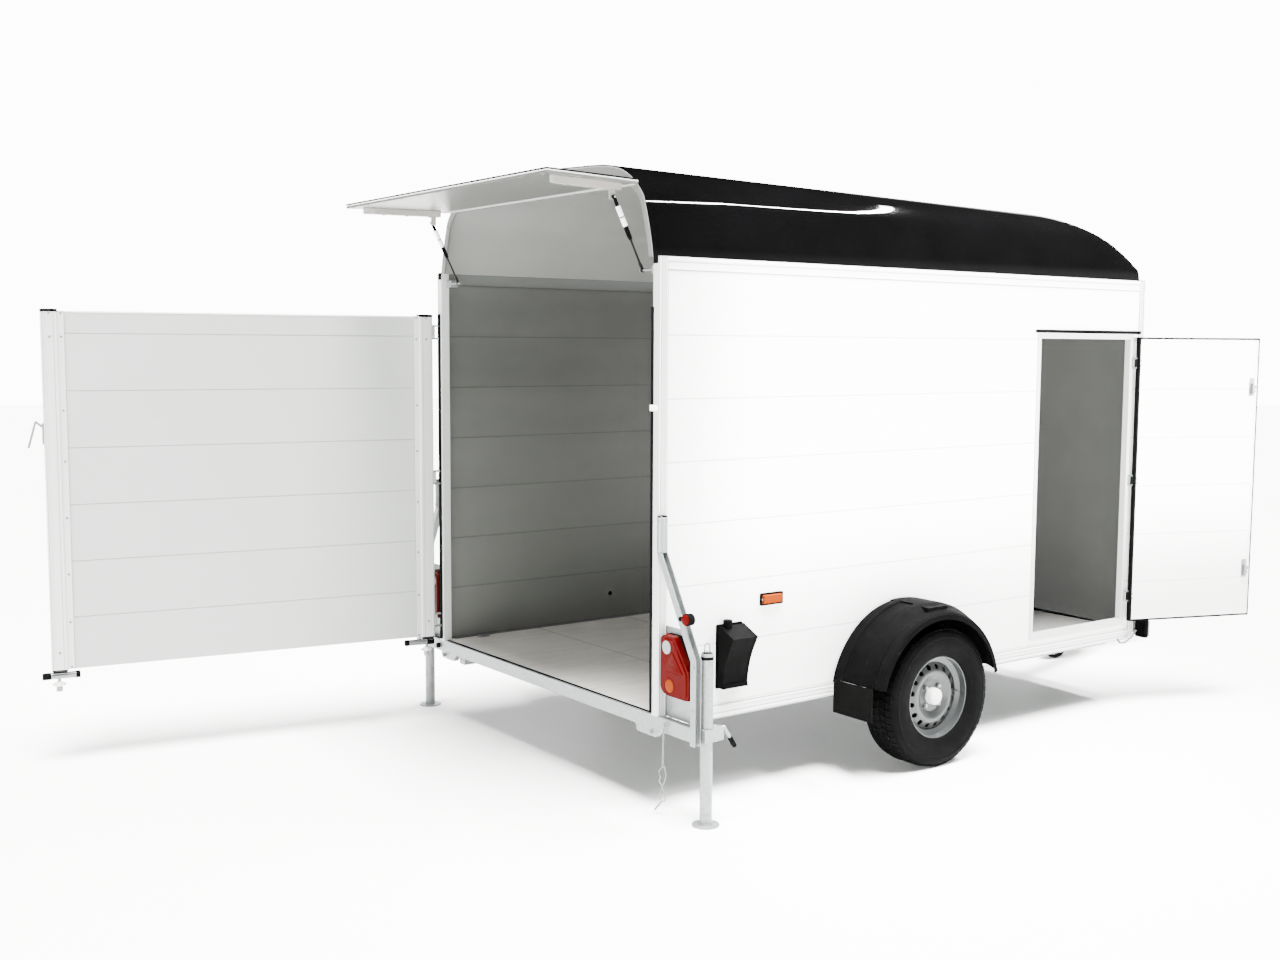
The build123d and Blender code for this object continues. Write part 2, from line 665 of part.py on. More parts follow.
# ---------------------------------------------------------------- rear door
def make_rear_door():
    axis_x = rear_x - rear_gap - rear_door_post_depth / 2 - 2
    axis_y = rear_door_width / 2 + rear_hinge_offset
    heading = radians(rear_door_angle)
    door = Plane(origin=(axis_x, axis_y, 0), x_dir=(cos(heading), sin(heading), 0), z_dir=(0, 0, 1))
    near, far = rear_hinge_offset, rear_hinge_offset + rear_door_width
    low, high = rear_door_low, rear_door_high
    post_y = (-rear_door_post_depth / 2 + 2, rear_door_post_depth / 2 + 2)
    panel_y = (-panel_thickness / 2 + 2, panel_thickness / 2 + 2)
    with BuildPart(door) as rear_door_panel:
        block((near + rear_door_post, far - rear_door_post), panel_y, (low, high))
        for face in panel_y:
            for z in plank_seams(low, high):
                block((near, far), (face - seam_depth, face + seam_depth),
                      (z - seam_width / 2, z + seam_width / 2), mode=Mode.SUBTRACT)
    write(rear_door_panel, "rear_door_panel")
    with BuildPart(door) as rear_door_posts:
        block((near, near + rear_door_post), post_y, (low, high))
        block((far - rear_door_post, far), post_y, (low, high))
        fillet(edges().filter_by(Axis.Z), 4)
        for x in (near + rear_door_post / 2 - 17, far - rear_door_post / 2 + 17):
            block((x - 1.5, x + 1.5), (post_y[1] - 1.5, post_y[1] + 1), (low, high), mode=Mode.SUBTRACT)
        flange_y = (panel_y[1] + 0.1, panel_y[1] + 3.1)
        block((near + rear_door_post - 5, near + rear_door_post + rear_door_flange), flange_y, (low, high))
        block((far - rear_door_post - rear_door_flange, far - rear_door_post + 5), flange_y, (low, high))
        for z in rear_hinge_heights:
            block((0, near + 1), (-8, 8), (z - 25, z + 25))
            with Locations((0, 0, z)):
                Cylinder(8, 50)
                Cylinder(hinge_pin_radius + 0.1, 60, mode=Mode.SUBTRACT)
    write(rear_door_posts, "rear_door_posts")

    def at(x, y, z):
        """A point given in the door's own frame."""
        return tuple(door.from_local_coords((x, y, z)))

    with BuildPart(door) as rear_door_fittings:
        for start, end, middle in ((near + 2, near + 142, near + rear_door_post / 2),
                                   (far - 112, far + 36, far - rear_door_post / 2)):
            z = low - 28
            rod(at(start, 0, z), at(end, 0, z), 14)
            block((middle - 30, middle + 30), (-9, 11), (z, low - 0.1))
            rod(at(middle + 4, 0, z - 55), at(middle + 4, 0, z), 7)
            rod(at(middle + 4, 0, z - 68), at(middle + 4, 0, z - 48), 13)
            rod(at(middle - 22, 0, z - 38), at(middle + 30, 0, z - 38), 4)
        grip = (low + high) / 2 + 250
        block((far, far + 7), (-12, 16), (grip - 45, grip + 45))
        rod(at(far + 6, 2, grip + 30), at(far + 34, 2, grip + 52), 5)
        rod(at(far + 32, 2, grip + 50), at(far + 62, 2, grip - 60), 5)
    write(rear_door_fittings, "rear_door_fittings")
    return axis_x, axis_y


# ---------------------------------------------------------------- hatch
def make_hatch():
    under = hatch_axis_z - hatch_below_axis
    x0, x1 = hatch_axis_x - 3, hatch_axis_x - 3 - hatch_length
    with BuildPart() as hatch_panel:
        with BuildSketch(Plane.XY.offset(under)):
            with BuildLine():
                Polyline((x0, -hatch_hinge_half), (x1, -hatch_free_half), (x1, hatch_free_half),
                         (x0, hatch_hinge_half), close=True)
            make_face()
        extrude(amount=hatch_thickness)
    write(hatch_panel, "hatch_panel")
    with BuildPart() as hatch_brackets:
        for side, _ in sides:
            with BuildSketch(Plane.XY.offset(under)):
                with BuildLine():
                    lug_y = strut_y - 17
                    Polyline((x0 - 60, side * (lug_y - 13)), (x0 - 372, side * (lug_y + 38)),
                             (x0 - 412, side * (lug_y + 68)), (x0 - 400, side * (lug_y + 77)),
                             (x0 - 60, side * (lug_y + 22)), close=True)
                make_face()
            extrude(amount=-hatch_bracket)
            top_x, top_z = strut_top
            block((top_x - 12, top_x + 12), span(side * lug_y, side * (lug_y + 6)),
                  (top_z - 10, under - hatch_bracket))
            rod((top_x, side * lug_y, top_z), (top_x, side * (strut_y + 10), top_z), strut_pin_radius)
    write(hatch_brackets, "hatch_brackets")


def make_struts():
    top = Vector(strut_top[0], 0, strut_top[1])
    foot = Vector(strut_foot[0], 0, strut_foot[1])
    run = (foot - top).normalized()
    across = Vector(0, 6, 0)
    for side, word in sides:
        shift = Vector(0, side * strut_y, 0)
        with BuildPart() as strut_tube:
            rod(tuple(top + shift + run * 7), tuple(top + shift + run * 40), strut_tube_radius - 2)
            rod(tuple(top + shift + run * 38), tuple(top + shift + run * strut_tube_length), strut_tube_radius)
            rod(tuple(top + shift + run * 60), tuple(top + shift + run * (strut_tube_length + 1)),
                strut_rod_radius + 0.3, mode=Mode.SUBTRACT)
            rod(tuple(top + shift - across), tuple(top + shift + across), strut_eye_radius)
            rod(tuple(top + shift - across * 1.2), tuple(top + shift + across * 1.2), strut_pin_radius + 0.1,
                mode=Mode.SUBTRACT)
        write(strut_tube, f"strut_tube_{word}")
        with BuildPart() as strut_rod:
            rod(tuple(top + shift + run * 130), tuple(foot + shift - run * 30), strut_rod_radius)
            rod(tuple(foot + shift - run * 32), tuple(foot + shift), strut_rod_radius + 2)
            rod(tuple(foot + shift - across), tuple(foot + shift + across), strut_eye_radius)
        write(strut_rod, f"strut_rod_{word}")


# ---------------------------------------------------------------- side door
def make_side_door():
    (x0, x1), (z0, z1) = side_opening
    face_y = -half_width - 3 - side_door_gap
    axis = (x1 + side_door_lap + side_hinge_offset, face_y - side_door_thickness / 2)
    heading = radians(side_door_angle)
    door = Plane(origin=(axis[0], axis[1], 0), x_dir=(cos(heading), sin(heading), 0), z_dir=(0, 0, 1))
    width = (x1 - x0) + 2 * side_door_lap
    low, high = z0 - side_door_lap, z1 + side_door_lap
    y = (-side_door_thickness / 2, side_door_thickness / 2)
    near, far = side_hinge_offset, side_hinge_offset + width
    with BuildPart(door) as side_door_panel:
        block((near + 12, far - 12), y, (low + 12, high - 12))
    write(side_door_panel, "side_door_panel")
    with BuildPart(door) as side_door_edge:
        block((near, far), y, (low, high))
        block((near + 12, far - 12), (-50, 50), (low + 12, high - 12), mode=Mode.SUBTRACT)
        for z in side_hinge_heights:
            block((0, near), (-6, 6), (z - 20, z + 20))
            with Locations((0, 0, z)):
                Cylinder(6, 40)
                Cylinder(side_pin_radius + 0.1, 50, mode=Mode.SUBTRACT)
    write(side_door_edge, "side_door_edge")
    with BuildPart(door) as side_door_latches:
        inner = y[0] - 0.1
        for z in (low + side_latch_inset, high - side_latch_inset):
            block((far - 54, far - 28), (inner - 4, inner), (z - 46, z + 46))
            block((far - 46, far - 36), (inner - 17, inner - 3), (z - 36, z + 18))
            block((far - 34, far - 17), (inner - 9, inner - 3), (z - 8, z + 8))
    write(side_door_latches, "side_door_latches")
    return axis


def make_body_hinges(rear_axis, side_axis):
    """Pins and ears on the body for the doors, and the feet of the gas struts."""
    with BuildPart() as body_hinges:
        for z in rear_hinge_heights:
            for ear in (z - 34, z + 26):
                block((rear_axis[0] - 7, rear_x), (rear_axis[1] - 7, rear_axis[1] + 7), (ear, ear + 8))
            with Locations((*rear_axis, z)):
                Cylinder(hinge_pin_radius, 68)
        for z in side_hinge_heights:
            for ear in (z - 27, z + 21):
                block((side_axis[0] - 5, side_axis[0] + 5), (side_axis[1] - 5, -half_width - 3), (ear, ear + 6))
            with Locations((*side_axis, z)):
                Cylinder(side_pin_radius, 54)
        for side, _ in sides:
            x, z = strut_foot
            rod((x, side * (strut_y + 6 + seat_gap), z), (x, side * 800, z), strut_pin_radius)
            block((x - strut_pin_radius, x + 34), span(side * 800, side * (half_width + rail_proud - post_size)),
                  (z - 15, z + 15))
    write(body_hinges, "body_hinges")


# ---------------------------------------------------------------- drawbar fittings
def make_coupling():
    top = drawbar_bottom + drawbar_height
    rear = front_x + 640
    neck = rear + 310
    with BuildPart() as overrun_housing:
        block((rear, rear + 230), (-110, 110), (top, top + 10))
        rod((rear + 10, 0, coupling_z), (neck, 0, coupling_z), 32)
        rod((neck - 14, 0, coupling_z), (neck, 0, coupling_z), 38)
        for x in (rear + 30, rear + 210):
            with BuildSketch(Plane.YZ.offset(x)):
                with BuildLine():
                    Polyline((-58, top + 9), (58, top + 9), (42, coupling_z + 24), (-42, coupling_z + 24),
                             close=True)
                make_face()
            extrude(amount=12)
        for y in (-62, 55):
            with BuildSketch(Plane.XZ.offset(-y - 7)):
                with BuildLine():
                    Polyline((rear + 20, top + 9), (rear + 160, top + 9), (rear + 110, coupling_z + 30),
                             (rear + 60, coupling_z + 30), close=True)
                make_face()
            extrude(amount=7)
    write(overrun_housing, "overrun_housing")
    with BuildPart() as bellows:
        with BuildSketch(Plane.XZ):
            with BuildLine():
                folds = 8
                pitch = 20
                foot = neck + seat_gap
                points = [(foot, coupling_z)]
                for i in range(folds):
                    points += [(foot + i * pitch, coupling_z + 30), (foot + (i + 0.5) * pitch, coupling_z + 40)]
                points += [(foot + folds * pitch, coupling_z + 30), (foot + folds * pitch, coupling_z)]
                Polyline(*points, close=True)
            make_face()
        revolve(axis=Axis((0, 0, coupling_z), (1, 0, 0)))
    write(bellows, "bellows")
    with BuildPart() as coupling_head:
        rod((neck + 161, 0, coupling_z), (ball_x - 90, 0, coupling_z), 26)
        with BuildSketch(Plane.XY.offset(coupling_z - 28)):
            with BuildLine():
                Polyline((ball_x - 130, 30), (ball_x - 60, 33), (ball_x - 20, 38))
                ThreePointArc((ball_x - 20, 38), (ball_x + 43, 0), (ball_x - 20, -38))
                Polyline((ball_x - 20, -38), (ball_x - 60, -33), (ball_x - 130, -30), (ball_x - 130, 30))
            make_face()
        extrude(amount=62)
        rod((ball_x, 0, coupling_z - 40), (ball_x, 0, coupling_z), ball_radius, mode=Mode.SUBTRACT)
        with BuildSketch(Plane.XZ.offset(18)):
            with BuildLine():
                z = coupling_z + 34
                Line((ball_x - 20, z - 1), (ball_x + 14, z - 1))
                ThreePointArc((ball_x + 14, z - 1), (ball_x - 2, z + 26), (ball_x - 40, z + 34))
                Line((ball_x - 40, z + 34), (ball_x - 200, z + 46))
                Line((ball_x - 200, z + 46), (ball_x - 204, z + 30))
                Line((ball_x - 204, z + 30), (ball_x - 60, z + 14))
                Line((ball_x - 60, z + 14), (ball_x - 20, z - 1))
            make_face()
        extrude(amount=-36)
        fillet(edges().group_by(Axis.Z)[-1], 5)
    write(coupling_head, "coupling_head")
    with BuildPart() as handbrake_lever:
        with BuildSketch(Plane.XZ.offset(-69.3)):
            with BuildLine():
                foot_x = rear + 70
                ThreePointArc((foot_x - 24, top + 11), (foot_x + 6, coupling_z + 60), (foot_x + 110, coupling_z + 300))
                Line((foot_x + 110, coupling_z + 300), (foot_x + 168, coupling_z + 430))
                Line((foot_x + 168, coupling_z + 430), (foot_x + 146, coupling_z + 440))
                Line((foot_x + 146, coupling_z + 440), (foot_x + 84, coupling_z + 308))
                ThreePointArc((foot_x + 84, coupling_z + 308), (foot_x - 30, coupling_z + 70), (foot_x - 60, top + 11))
                Line((foot_x - 60, top + 11), (foot_x - 24, top + 11))
            make_face()
        extrude(amount=7)
        rod((foot_x + 92, 65.5, coupling_z + 320), (foot_x + 158, 65.5, coupling_z + 456), 16)
        rod((foot_x + 158, 65.5, coupling_z + 456), (foot_x + 162, 65.5, coupling_z + 466), 9)
    write(handbrake_lever, "handbrake_lever")


def make_jockey():
    tube_low, tube_high = 300, 760
    top = drawbar_bottom + drawbar_height
    with BuildPart() as jockey_clamp:
        reach = 90
        block((jockey_x - 45, jockey_x + 45), (-reach, reach), (top, top + 8))
        block((jockey_x - 38, jockey_x + 38), (-38, 38), (top + 7, top + 62))
        rod((jockey_x, 0, 200), (jockey_x, 0, 500), jockey_tube_radius + 0.3, mode=Mode.SUBTRACT)
        rod((jockey_x, 37, top + 36), (jockey_x, 84, top + 36), 7)
        rod((jockey_x - 40, 78, top + 36), (jockey_x + 40, 78, top + 36), 6)
    write(jockey_clamp, "jockey_clamp")
    with BuildPart() as jockey_tube:
        rod((jockey_x, 0, tube_low), (jockey_x, 0, tube_high), jockey_tube_radius)
        rod((jockey_x, 0, tube_low - 1), (jockey_x, 0, tube_high - 30), jockey_leg_radius + 0.5,
            mode=Mode.SUBTRACT)
        rod((jockey_x, 0, tube_high - 1), (jockey_x, 0, tube_high + 12), 12)
        rod((jockey_x, -12, tube_high + 16), (jockey_x, 118, tube_high + 16), 7)
        rod((jockey_x, 110, tube_high + 14), (jockey_x, 110, tube_high + 92), 11)
    write(jockey_tube, "jockey_tube")
    with BuildPart() as jockey_leg:
        rod((jockey_x, 0, 226), (jockey_x, 0, 700), jockey_leg_radius)
    write(jockey_leg, "jockey_leg")
    wheel_x = jockey_x - jockey_trail
    with BuildPart() as jockey_fork:
        block((wheel_x - 25, jockey_x + 25), (-42, 42), (215, 225.7))
        for side, _ in sides:
            with BuildSketch(Plane.XZ.offset(-side * 36)):
                with BuildLine():
                    Polyline((jockey_x + 25, 216), (wheel_x - 25, 216), (wheel_x - 25, 190), (wheel_x - 20, 92),
                             (wheel_x - 12, 80), (wheel_x + 12, 80), (wheel_x + 20, 92), (jockey_x + 18, 190),
                             close=True)
                make_face()
            extrude(amount=-side * 6)
        rod((wheel_x, -42, jockey_radius), (wheel_x, 42, jockey_radius), 8)
    write(jockey_fork, "jockey_fork")
    with BuildPart() as jockey_wheel:
        with BuildSketch(Plane.YZ.offset(wheel_x)):
            with BuildLine():
                z = jockey_radius
                Polyline((-30, z + 8.3), (30, z + 8.3), (30, z + 22), (14, z + 30), (14, z + 62), (26, z + 70),
                         (28, z + 86))
                ThreePointArc((28, z + 86), (0, z + jockey_radius), (-28, z + 86))
                Polyline((-28, z + 86), (-26, z + 70), (-14, z + 62), (-14, z + 30), (-30, z + 22), (-30, z + 8.3))
            make_face()
        revolve(axis=Axis((wheel_x, 0, jockey_radius), (0, 1, 0)))
    write(jockey_wheel, "jockey_wheel")


make_side_walls()
make_rails_and_posts()
make_floor()
make_roof()
make_front_panel()
make_side_door_frame()
make_chassis()
make_running_gear()
make_mudguards()
make_light_guards()
make_side_fittings()
make_prop_stands()
make_hatch()
make_struts()
make_body_hinges(make_rear_door(), make_side_door())
make_coupling()
make_jockey()
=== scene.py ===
"""Looks of the enclosed cargo trailer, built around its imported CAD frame.

Metres; +X forward, +Y left, +Z up; the origin lies on the ground under the axle.
"""
import json
import math

import bmesh
import bpy
from mathutils import Matrix, Vector


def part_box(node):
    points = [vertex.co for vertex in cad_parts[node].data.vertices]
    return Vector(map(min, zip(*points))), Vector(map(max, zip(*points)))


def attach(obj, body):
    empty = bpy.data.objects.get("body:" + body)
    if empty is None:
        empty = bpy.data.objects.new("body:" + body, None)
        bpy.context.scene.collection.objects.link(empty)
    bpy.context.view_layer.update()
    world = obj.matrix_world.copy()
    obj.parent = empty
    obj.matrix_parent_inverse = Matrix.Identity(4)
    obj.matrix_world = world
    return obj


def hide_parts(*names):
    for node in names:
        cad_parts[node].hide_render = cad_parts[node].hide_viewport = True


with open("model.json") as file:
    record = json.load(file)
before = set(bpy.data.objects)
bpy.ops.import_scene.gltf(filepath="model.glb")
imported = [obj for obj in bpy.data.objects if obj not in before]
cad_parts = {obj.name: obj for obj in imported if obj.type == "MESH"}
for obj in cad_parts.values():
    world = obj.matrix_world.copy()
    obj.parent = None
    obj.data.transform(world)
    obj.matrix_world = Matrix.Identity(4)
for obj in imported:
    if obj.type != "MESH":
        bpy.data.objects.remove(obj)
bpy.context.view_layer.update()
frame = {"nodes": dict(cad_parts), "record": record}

SIDES = (("left", 1), ("right", -1))
SIGNS = (1, -1)
ALONG, ACROSS, UP, BACK, DOWN = (1, 0, 0), (0, 1, 0), (0, 0, 1), (-1, 0, 0), (0, 0, -1)
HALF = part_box("side_wall_left")[1].y        # outer face of the side walls
WALL_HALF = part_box("wall_rails")[1].y       # outer face of their rails
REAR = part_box("corner_posts")[0].x
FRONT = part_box("corner_posts")[1].x
WALL_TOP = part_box("corner_posts")[1].z
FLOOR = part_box("floor_board")[1].z
ROOF_LOW, ROOF_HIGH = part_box("roof_shell")
ROOF_HALF, ROOF_RISE, NOSE = ROOF_HIGH.y, ROOF_HIGH.z - WALL_TOP, ROOF_HIGH.x
PLANK_PITCH = 0.244
BOARD_JOINTS = (-0.262, -0.812, 0.72)       # joints across the floor board
REAR_DOOR_HEADING, SIDE_DOOR_HEADING = 171, -20     # directions of the open doors, in degrees
STAND_Y = 1.116                             # middle of the prop stands and guard bolts
joint_at = {joint["name"]: Vector(joint["pos_m"]) for joint in frame["record"]["behaviour"]["joints"]
            if "pos_m" in joint}

# ---------------------------------------------------------------- shader building
FINISHES = {}
SOCKETS = {"colour": "Base Color", "rough": "Roughness", "normal": "Normal", "metallic": "Metallic",
           "shine": "Specular IOR Level", "coat": "Coat Weight", "coat_rough": "Coat Roughness"}
MIX_FIRST, MIX_SECOND, MIX_COLOUR = 6, 7, 2     # colour sockets of the mix node


class Graph:
    """A node tree being built; a value is a socket, a number or a tuple."""

    def __init__(self, owner):
        owner.use_nodes = True
        self.tree = owner.node_tree

    def feed(self, socket, value):
        """Links a value into an input, or sets the input to it."""
        if isinstance(value, bpy.types.NodeSocket):
            self.tree.links.new(value, socket)
        else:
            socket.default_value = (*value, 1) if socket.type == "RGBA" else value

    def add(self, kind, inputs=None, output=0, **settings):
        """A new node with its settings and inputs; returns one of its outputs."""
        node = self.tree.nodes.new(kind)
        for name, value in settings.items():
            setattr(node, name, value)
        for name, value in (inputs or {}).items():
            self.feed(node.inputs[name], value)
        return node.outputs[output]

    def place(self):
        """The place in object space."""
        return self.add("ShaderNodeTexCoord", output="Object")

    def along(self, axis):
        """One object-space coordinate."""
        return self.add("ShaderNodeSeparateXYZ", {"Vector": self.place()}, axis)

    def noise(self, scale, detail=4.0, stretch=(1, 1, 1), roughness=0.55):
        """Noise in object space, from 0 to 1."""
        place = self.add("ShaderNodeMapping", {"Vector": self.place(), "Scale": stretch})
        return self.add("ShaderNodeTexNoise", {"Vector": place, "Scale": scale, "Detail": detail,
                                               "Roughness": roughness})

    def ramp(self, value, *stops):
        """A colour ramp over a value; stops are (place, colour)."""
        node = self.tree.nodes.new("ShaderNodeValToRGB")
        elements = node.color_ramp.elements
        while len(elements) < len(stops):
            elements.new(0.5)
        for element, (place, colour) in zip(elements, stops):
            element.position = place
            element.color = (*colour, 1)
        self.feed(node.inputs["Fac"], value)
        return node.outputs["Color"]

    def tones(self, value, low, high):
        """A ramp between two colours over the middle of a noise."""
        return self.ramp(value, (0.3, low), (0.7, high))

    def spread(self, value, low, high, start=0.0, end=1.0):
        """A value from start..end moved to low..high."""
        return self.add("ShaderNodeMapRange", {"Value": value, "From Min": start, "From Max": end,
                                               "To Min": low, "To Max": high})

    def maths(self, operation, *values):
        """One arithmetic step."""
        return self.add("ShaderNodeMath", dict(enumerate(values)), operation=operation)

    def blend(self, share, first, second):
        """A mix of two colours."""
        return self.add("ShaderNodeMix", {"Factor": share, MIX_FIRST: first, MIX_SECOND: second},
                        MIX_COLOUR, data_type="RGBA")

    def bump(self, height, strength, distance):
        """A normal bent by a height."""
        return self.add("ShaderNodeBump", {"Height": height, "Strength": strength, "Distance": distance})

    def surface(self, **values):
        """Feeds the shader."""
        for name, value in values.items():
            self.feed(self.tree.nodes["Principled BSDF"].inputs[SOCKETS[name]], value)


def new_material(name):
    """A new finish, kept under its name."""
    FINISHES[name] = bpy.data.materials.new(name)
    return Graph(FINISHES[name])


def shaded(colour, factor):
    """A colour made darker or lighter."""
    return tuple(min(1.0, c * factor) for c in colour)


def mottled(name, colour, vary, scale, rough, fine, metallic=0.0, shine=0.5, coat=0.0,
            relief=(0.05, 0.0005)):
    """A surface with slight colour and gloss variation and a fine relief."""
    graph = new_material(name)
    small = graph.noise(fine)
    graph.surface(colour=graph.tones(graph.noise(scale), shaded(colour, 1 - vary), shaded(colour, 1 + vary)),
                  rough=graph.spread(small, *rough), metallic=metallic, shine=shine, coat=coat,
                  coat_rough=0.1, normal=graph.bump(small, *relief))


def galvanised(name, base):
    """Zinc with its crystal spangle."""
    graph = new_material(name)
    cells = graph.add("ShaderNodeTexVoronoi", {"Vector": graph.place(), "Scale": 90}, "Color")
    tone, gloss = (graph.add("ShaderNodeSeparateColor", {"Color": cells}, part) for part in ("Red", "Green"))
    spangle = graph.ramp(tone, (0.0, shaded(base, 0.84)), (1.0, shaded(base, 1.12)))
    share = graph.spread(graph.noise(5, detail=6), 0.0, 0.6, 0.35, 0.7)
    graph.surface(colour=graph.blend(share, spangle, shaded(base, 0.8)), metallic=0.45,
                  rough=graph.spread(gloss, 0.34, 0.5), normal=graph.bump(graph.noise(40), 0.08, 0.0006))


def lens(name, colour):
    """A moulded lamp lens with fine ribs."""
    graph = new_material(name)
    ribs = graph.add("ShaderNodeTexWave", {"Vector": graph.place(), "Scale": 600 / 6.283}, "Fac",
                     bands_direction="Z")
    graph.surface(colour=graph.ramp(ribs, (0.0, shaded(colour, 0.55)), (1.0, colour)), rough=0.2,
                  shine=0.015, coat=0.01, normal=graph.bump(ribs, 0.2, 0.0006))


def board(name):
    """Film-faced floor board with faint grain along the trailer and its joints across, darkened towards the
    nose and on its underside by painted shade.
    """
    graph = new_material(name)
    grain = graph.noise(7, detail=8, stretch=(0.6, 9, 1), roughness=0.65)
    grained = graph.ramp(grain, (0.25, (0.31, 0.296, 0.272)), (0.5, (0.42, 0.405, 0.375)),
                         (0.8, (0.51, 0.495, 0.465)))
    along = graph.along("X")
    gaps = [graph.maths("ABSOLUTE", graph.maths("SUBTRACT", along, place)) for place in BOARD_JOINTS]
    nearest = graph.maths("MINIMUM", graph.maths("MINIMUM", gaps[0], gaps[1]), gaps[2])
    seamed = graph.blend(graph.spread(nearest, 0.75, 0.0, 0.001, 0.0045), grained, (0.03, 0.03, 0.028))
    # painted shade: the top goes dark blue-grey towards the nose
    upper = graph.blend(graph.spread(along, 0.0, 0.7, 0.75, 0.95), seamed, (0.018, 0.021, 0.025))
    # painted shade: the board below its top face is near black, to deepen the shadow under the trailer
    under = graph.spread(graph.along("Z"), 1.0, 0.0, 0.363, 0.365)
    graph.surface(colour=graph.blend(under, upper, (0.01, 0.01, 0.009)), shine=0.25,
                  rough=graph.spread(grain, 0.4, 0.6), normal=graph.bump(graph.noise(350), 0.2, 0.0006))


def planked(name, outside, strength, inside=None, split_at=0.0):
    """Extruded planks with a fine joint line at every pitch, drawn in black by strength.

    With a finish inside, it covers what lies nearer to the centre line than split_at; painted light
    makes it lighter low down and painted shade makes it darker towards the nose.
    """
    graph = new_material(name)
    height = graph.along("Z")
    pitch = graph.maths("DIVIDE", graph.maths("SUBTRACT", height, WALL_TOP - 0.296), PLANK_PITCH)
    share = graph.maths("FRACT", graph.maths("ADD", pitch, 20.0))
    edge = graph.maths("MINIMUM", share, graph.maths("SUBTRACT", 1.0, share))
    line = graph.spread(edge, 1.0, 0.0, 0.006, 0.014)
    tone = graph.noise(2.2, detail=3, stretch=(0.5, 0.5, 2))
    base = graph.tones(tone, shaded(outside, 0.985), outside)
    if inside:
        inner = graph.tones(tone, shaded(inside, 0.9), shaded(inside, 1.08))
        # painted light: the inside gets lighter low down
        inner = graph.blend(graph.spread(height, 0.9, 0.0, 0.4, 1.7), inner, shaded(inside, 1.9))
        # painted shade: the inside turns near black towards the nose
        nose_shade = graph.spread(graph.along("X"), 0.0, 0.68, 0.5, 0.9)
        inner = graph.blend(nose_shade, inner, (0.012, 0.012, 0.0115))
        offset = graph.maths("ABSOLUTE", graph.along("Y"))
        inward = graph.spread(offset, 1.0, 0.0, split_at - 0.0004, split_at + 0.0004)
        base = graph.blend(inward, base, inner)
    grain = graph.noise(30, detail=2, stretch=(0.3, 1, 6))
    relief = graph.maths("SUBTRACT", graph.maths("MULTIPLY", grain, 0.08), line)
    graph.surface(colour=graph.blend(graph.maths("MULTIPLY", line, strength), base, (0.0, 0.0, 0.0)),
                  rough=graph.spread(grain, 0.32, 0.42), shine=0.35, normal=graph.bump(relief, 0.25, 0.0006))


def lacquer(name, crown):
    """Deep black paint, duller on the crown than on its flanks; crown is where it changes."""
    graph = new_material(name)
    graph.surface(colour=graph.tones(graph.noise(4), (0.0005, 0.0005, 0.0005), (0.0008, 0.0008, 0.0009)),
                  coat=graph.spread(graph.along("Z"), 0.36, 0.003, *crown), shine=0.0, rough=0.3,
                  coat_rough=graph.spread(graph.noise(2), 0.015, 0.05),
                  normal=graph.bump(graph.noise(5, detail=1), 0.02, 0.001))


def two_faced(name, upper, lower, level):
    """A sheet with one finish above a level and another below it."""
    graph = new_material(name)
    under = graph.spread(graph.along("Z"), 1.0, 0.0, level - 0.0003, level + 0.0003)
    tone = graph.noise(3)
    top = graph.tones(tone, shaded(upper, 0.98), upper)
    low = graph.tones(tone, shaded(lower, 0.93), lower)
    graph.surface(colour=graph.blend(under, top, low), rough=graph.spread(graph.noise(60), 0.3, 0.4),
                  shine=0.3, normal=graph.bump(graph.noise(90), 0.04, 0.0004))


def handbrake_finish(name, level):
    """Zinc lever below a level and a black grip above it."""
    graph = new_material(name)
    grip = graph.spread(graph.along("Z"), 0.0, 1.0, level, level + 0.001)
    steel = graph.tones(graph.noise(40), (0.5, 0.52, 0.53), (0.62, 0.64, 0.65))
    graph.surface(colour=graph.blend(grip, steel, (0.006, 0.006, 0.006)), rough=0.42,
                  metallic=graph.spread(grip, 0.7, 0.0), normal=graph.bump(graph.noise(300), 0.1, 0.0005))


# ---------------------------------------------------------------- mesh building
def frame_at(origin, normal, across=None):
    """A placing whose local Z runs along normal and whose local X is near across."""
    z = Vector(normal).normalized()
    x = Vector(across or (UP if abs(z.z) < 0.9 else ALONG))
    x = (x - z * x.dot(z)).normalized()
    place = Matrix((x, z.cross(x), z)).transposed().to_4x4()
    place.translation = Vector(origin)
    return place


def span(side, near, far):
    """Two distances from the centre line as a rising pair on one side."""
    return sorted((side * near, side * far))


def rectangle(x0, x1, y0, y1):
    return [(x0, y0), (x1, y0), (x1, y1), (x0, y1)]


def circle(spot, across, along, count):
    """Points round an ellipse, from its middle and its two half axes."""
    spot, across, along = Vector(spot), Vector(across), Vector(along)
    turn = 2 * math.pi / count
    return [spot + across * math.cos(turn * k) + along * math.sin(turn * k) for k in range(count)]


def band(mesh, low, high, ring=True):
    """Faces between two rows of points; a row of one point makes a fan."""
    count = max(len(low), len(high))
    for i in range(count if ring else count - 1):
        row = [points[k % len(points)] for points, k in ((low, i), (low, i + 1), (high, i + 1), (high, i))]
        corners = list(dict.fromkeys(row))
        if len(corners) > 2:
            mesh.faces.new(corners)


def skin(mesh, rings, closed=False):
    """Faces between rings of points, which meet again or get caps on both ends."""
    for low, high in zip(rings, rings[1:] + rings[:1] if closed else rings[1:]):
        band(mesh, low, high)
    for ring in () if closed else (rings[0][::-1], rings[-1]):
        if len(ring) > 1:
            mesh.faces.new(ring)


def prism(mesh, outline, low, high, place=None, scale=1.0):
    """An outline drawn up from low to high, its top scaled about its middle."""
    place = place or Matrix()
    middle = sum((Vector(point) for point in outline), Vector((0, 0))) / len(outline)
    rings = []
    for height, size in ((low, 1.0), (high, scale)):
        flat = [middle + (Vector(point) - middle) * size for point in outline]
        rings.append([mesh.verts.new(place @ Vector((*point, height))) for point in flat])
    skin(mesh, rings)


def block(mesh, x, y, z, place=None):
    """A box between two values on each axis of a placing."""
    prism(mesh, rectangle(*x, *y), *z, place)


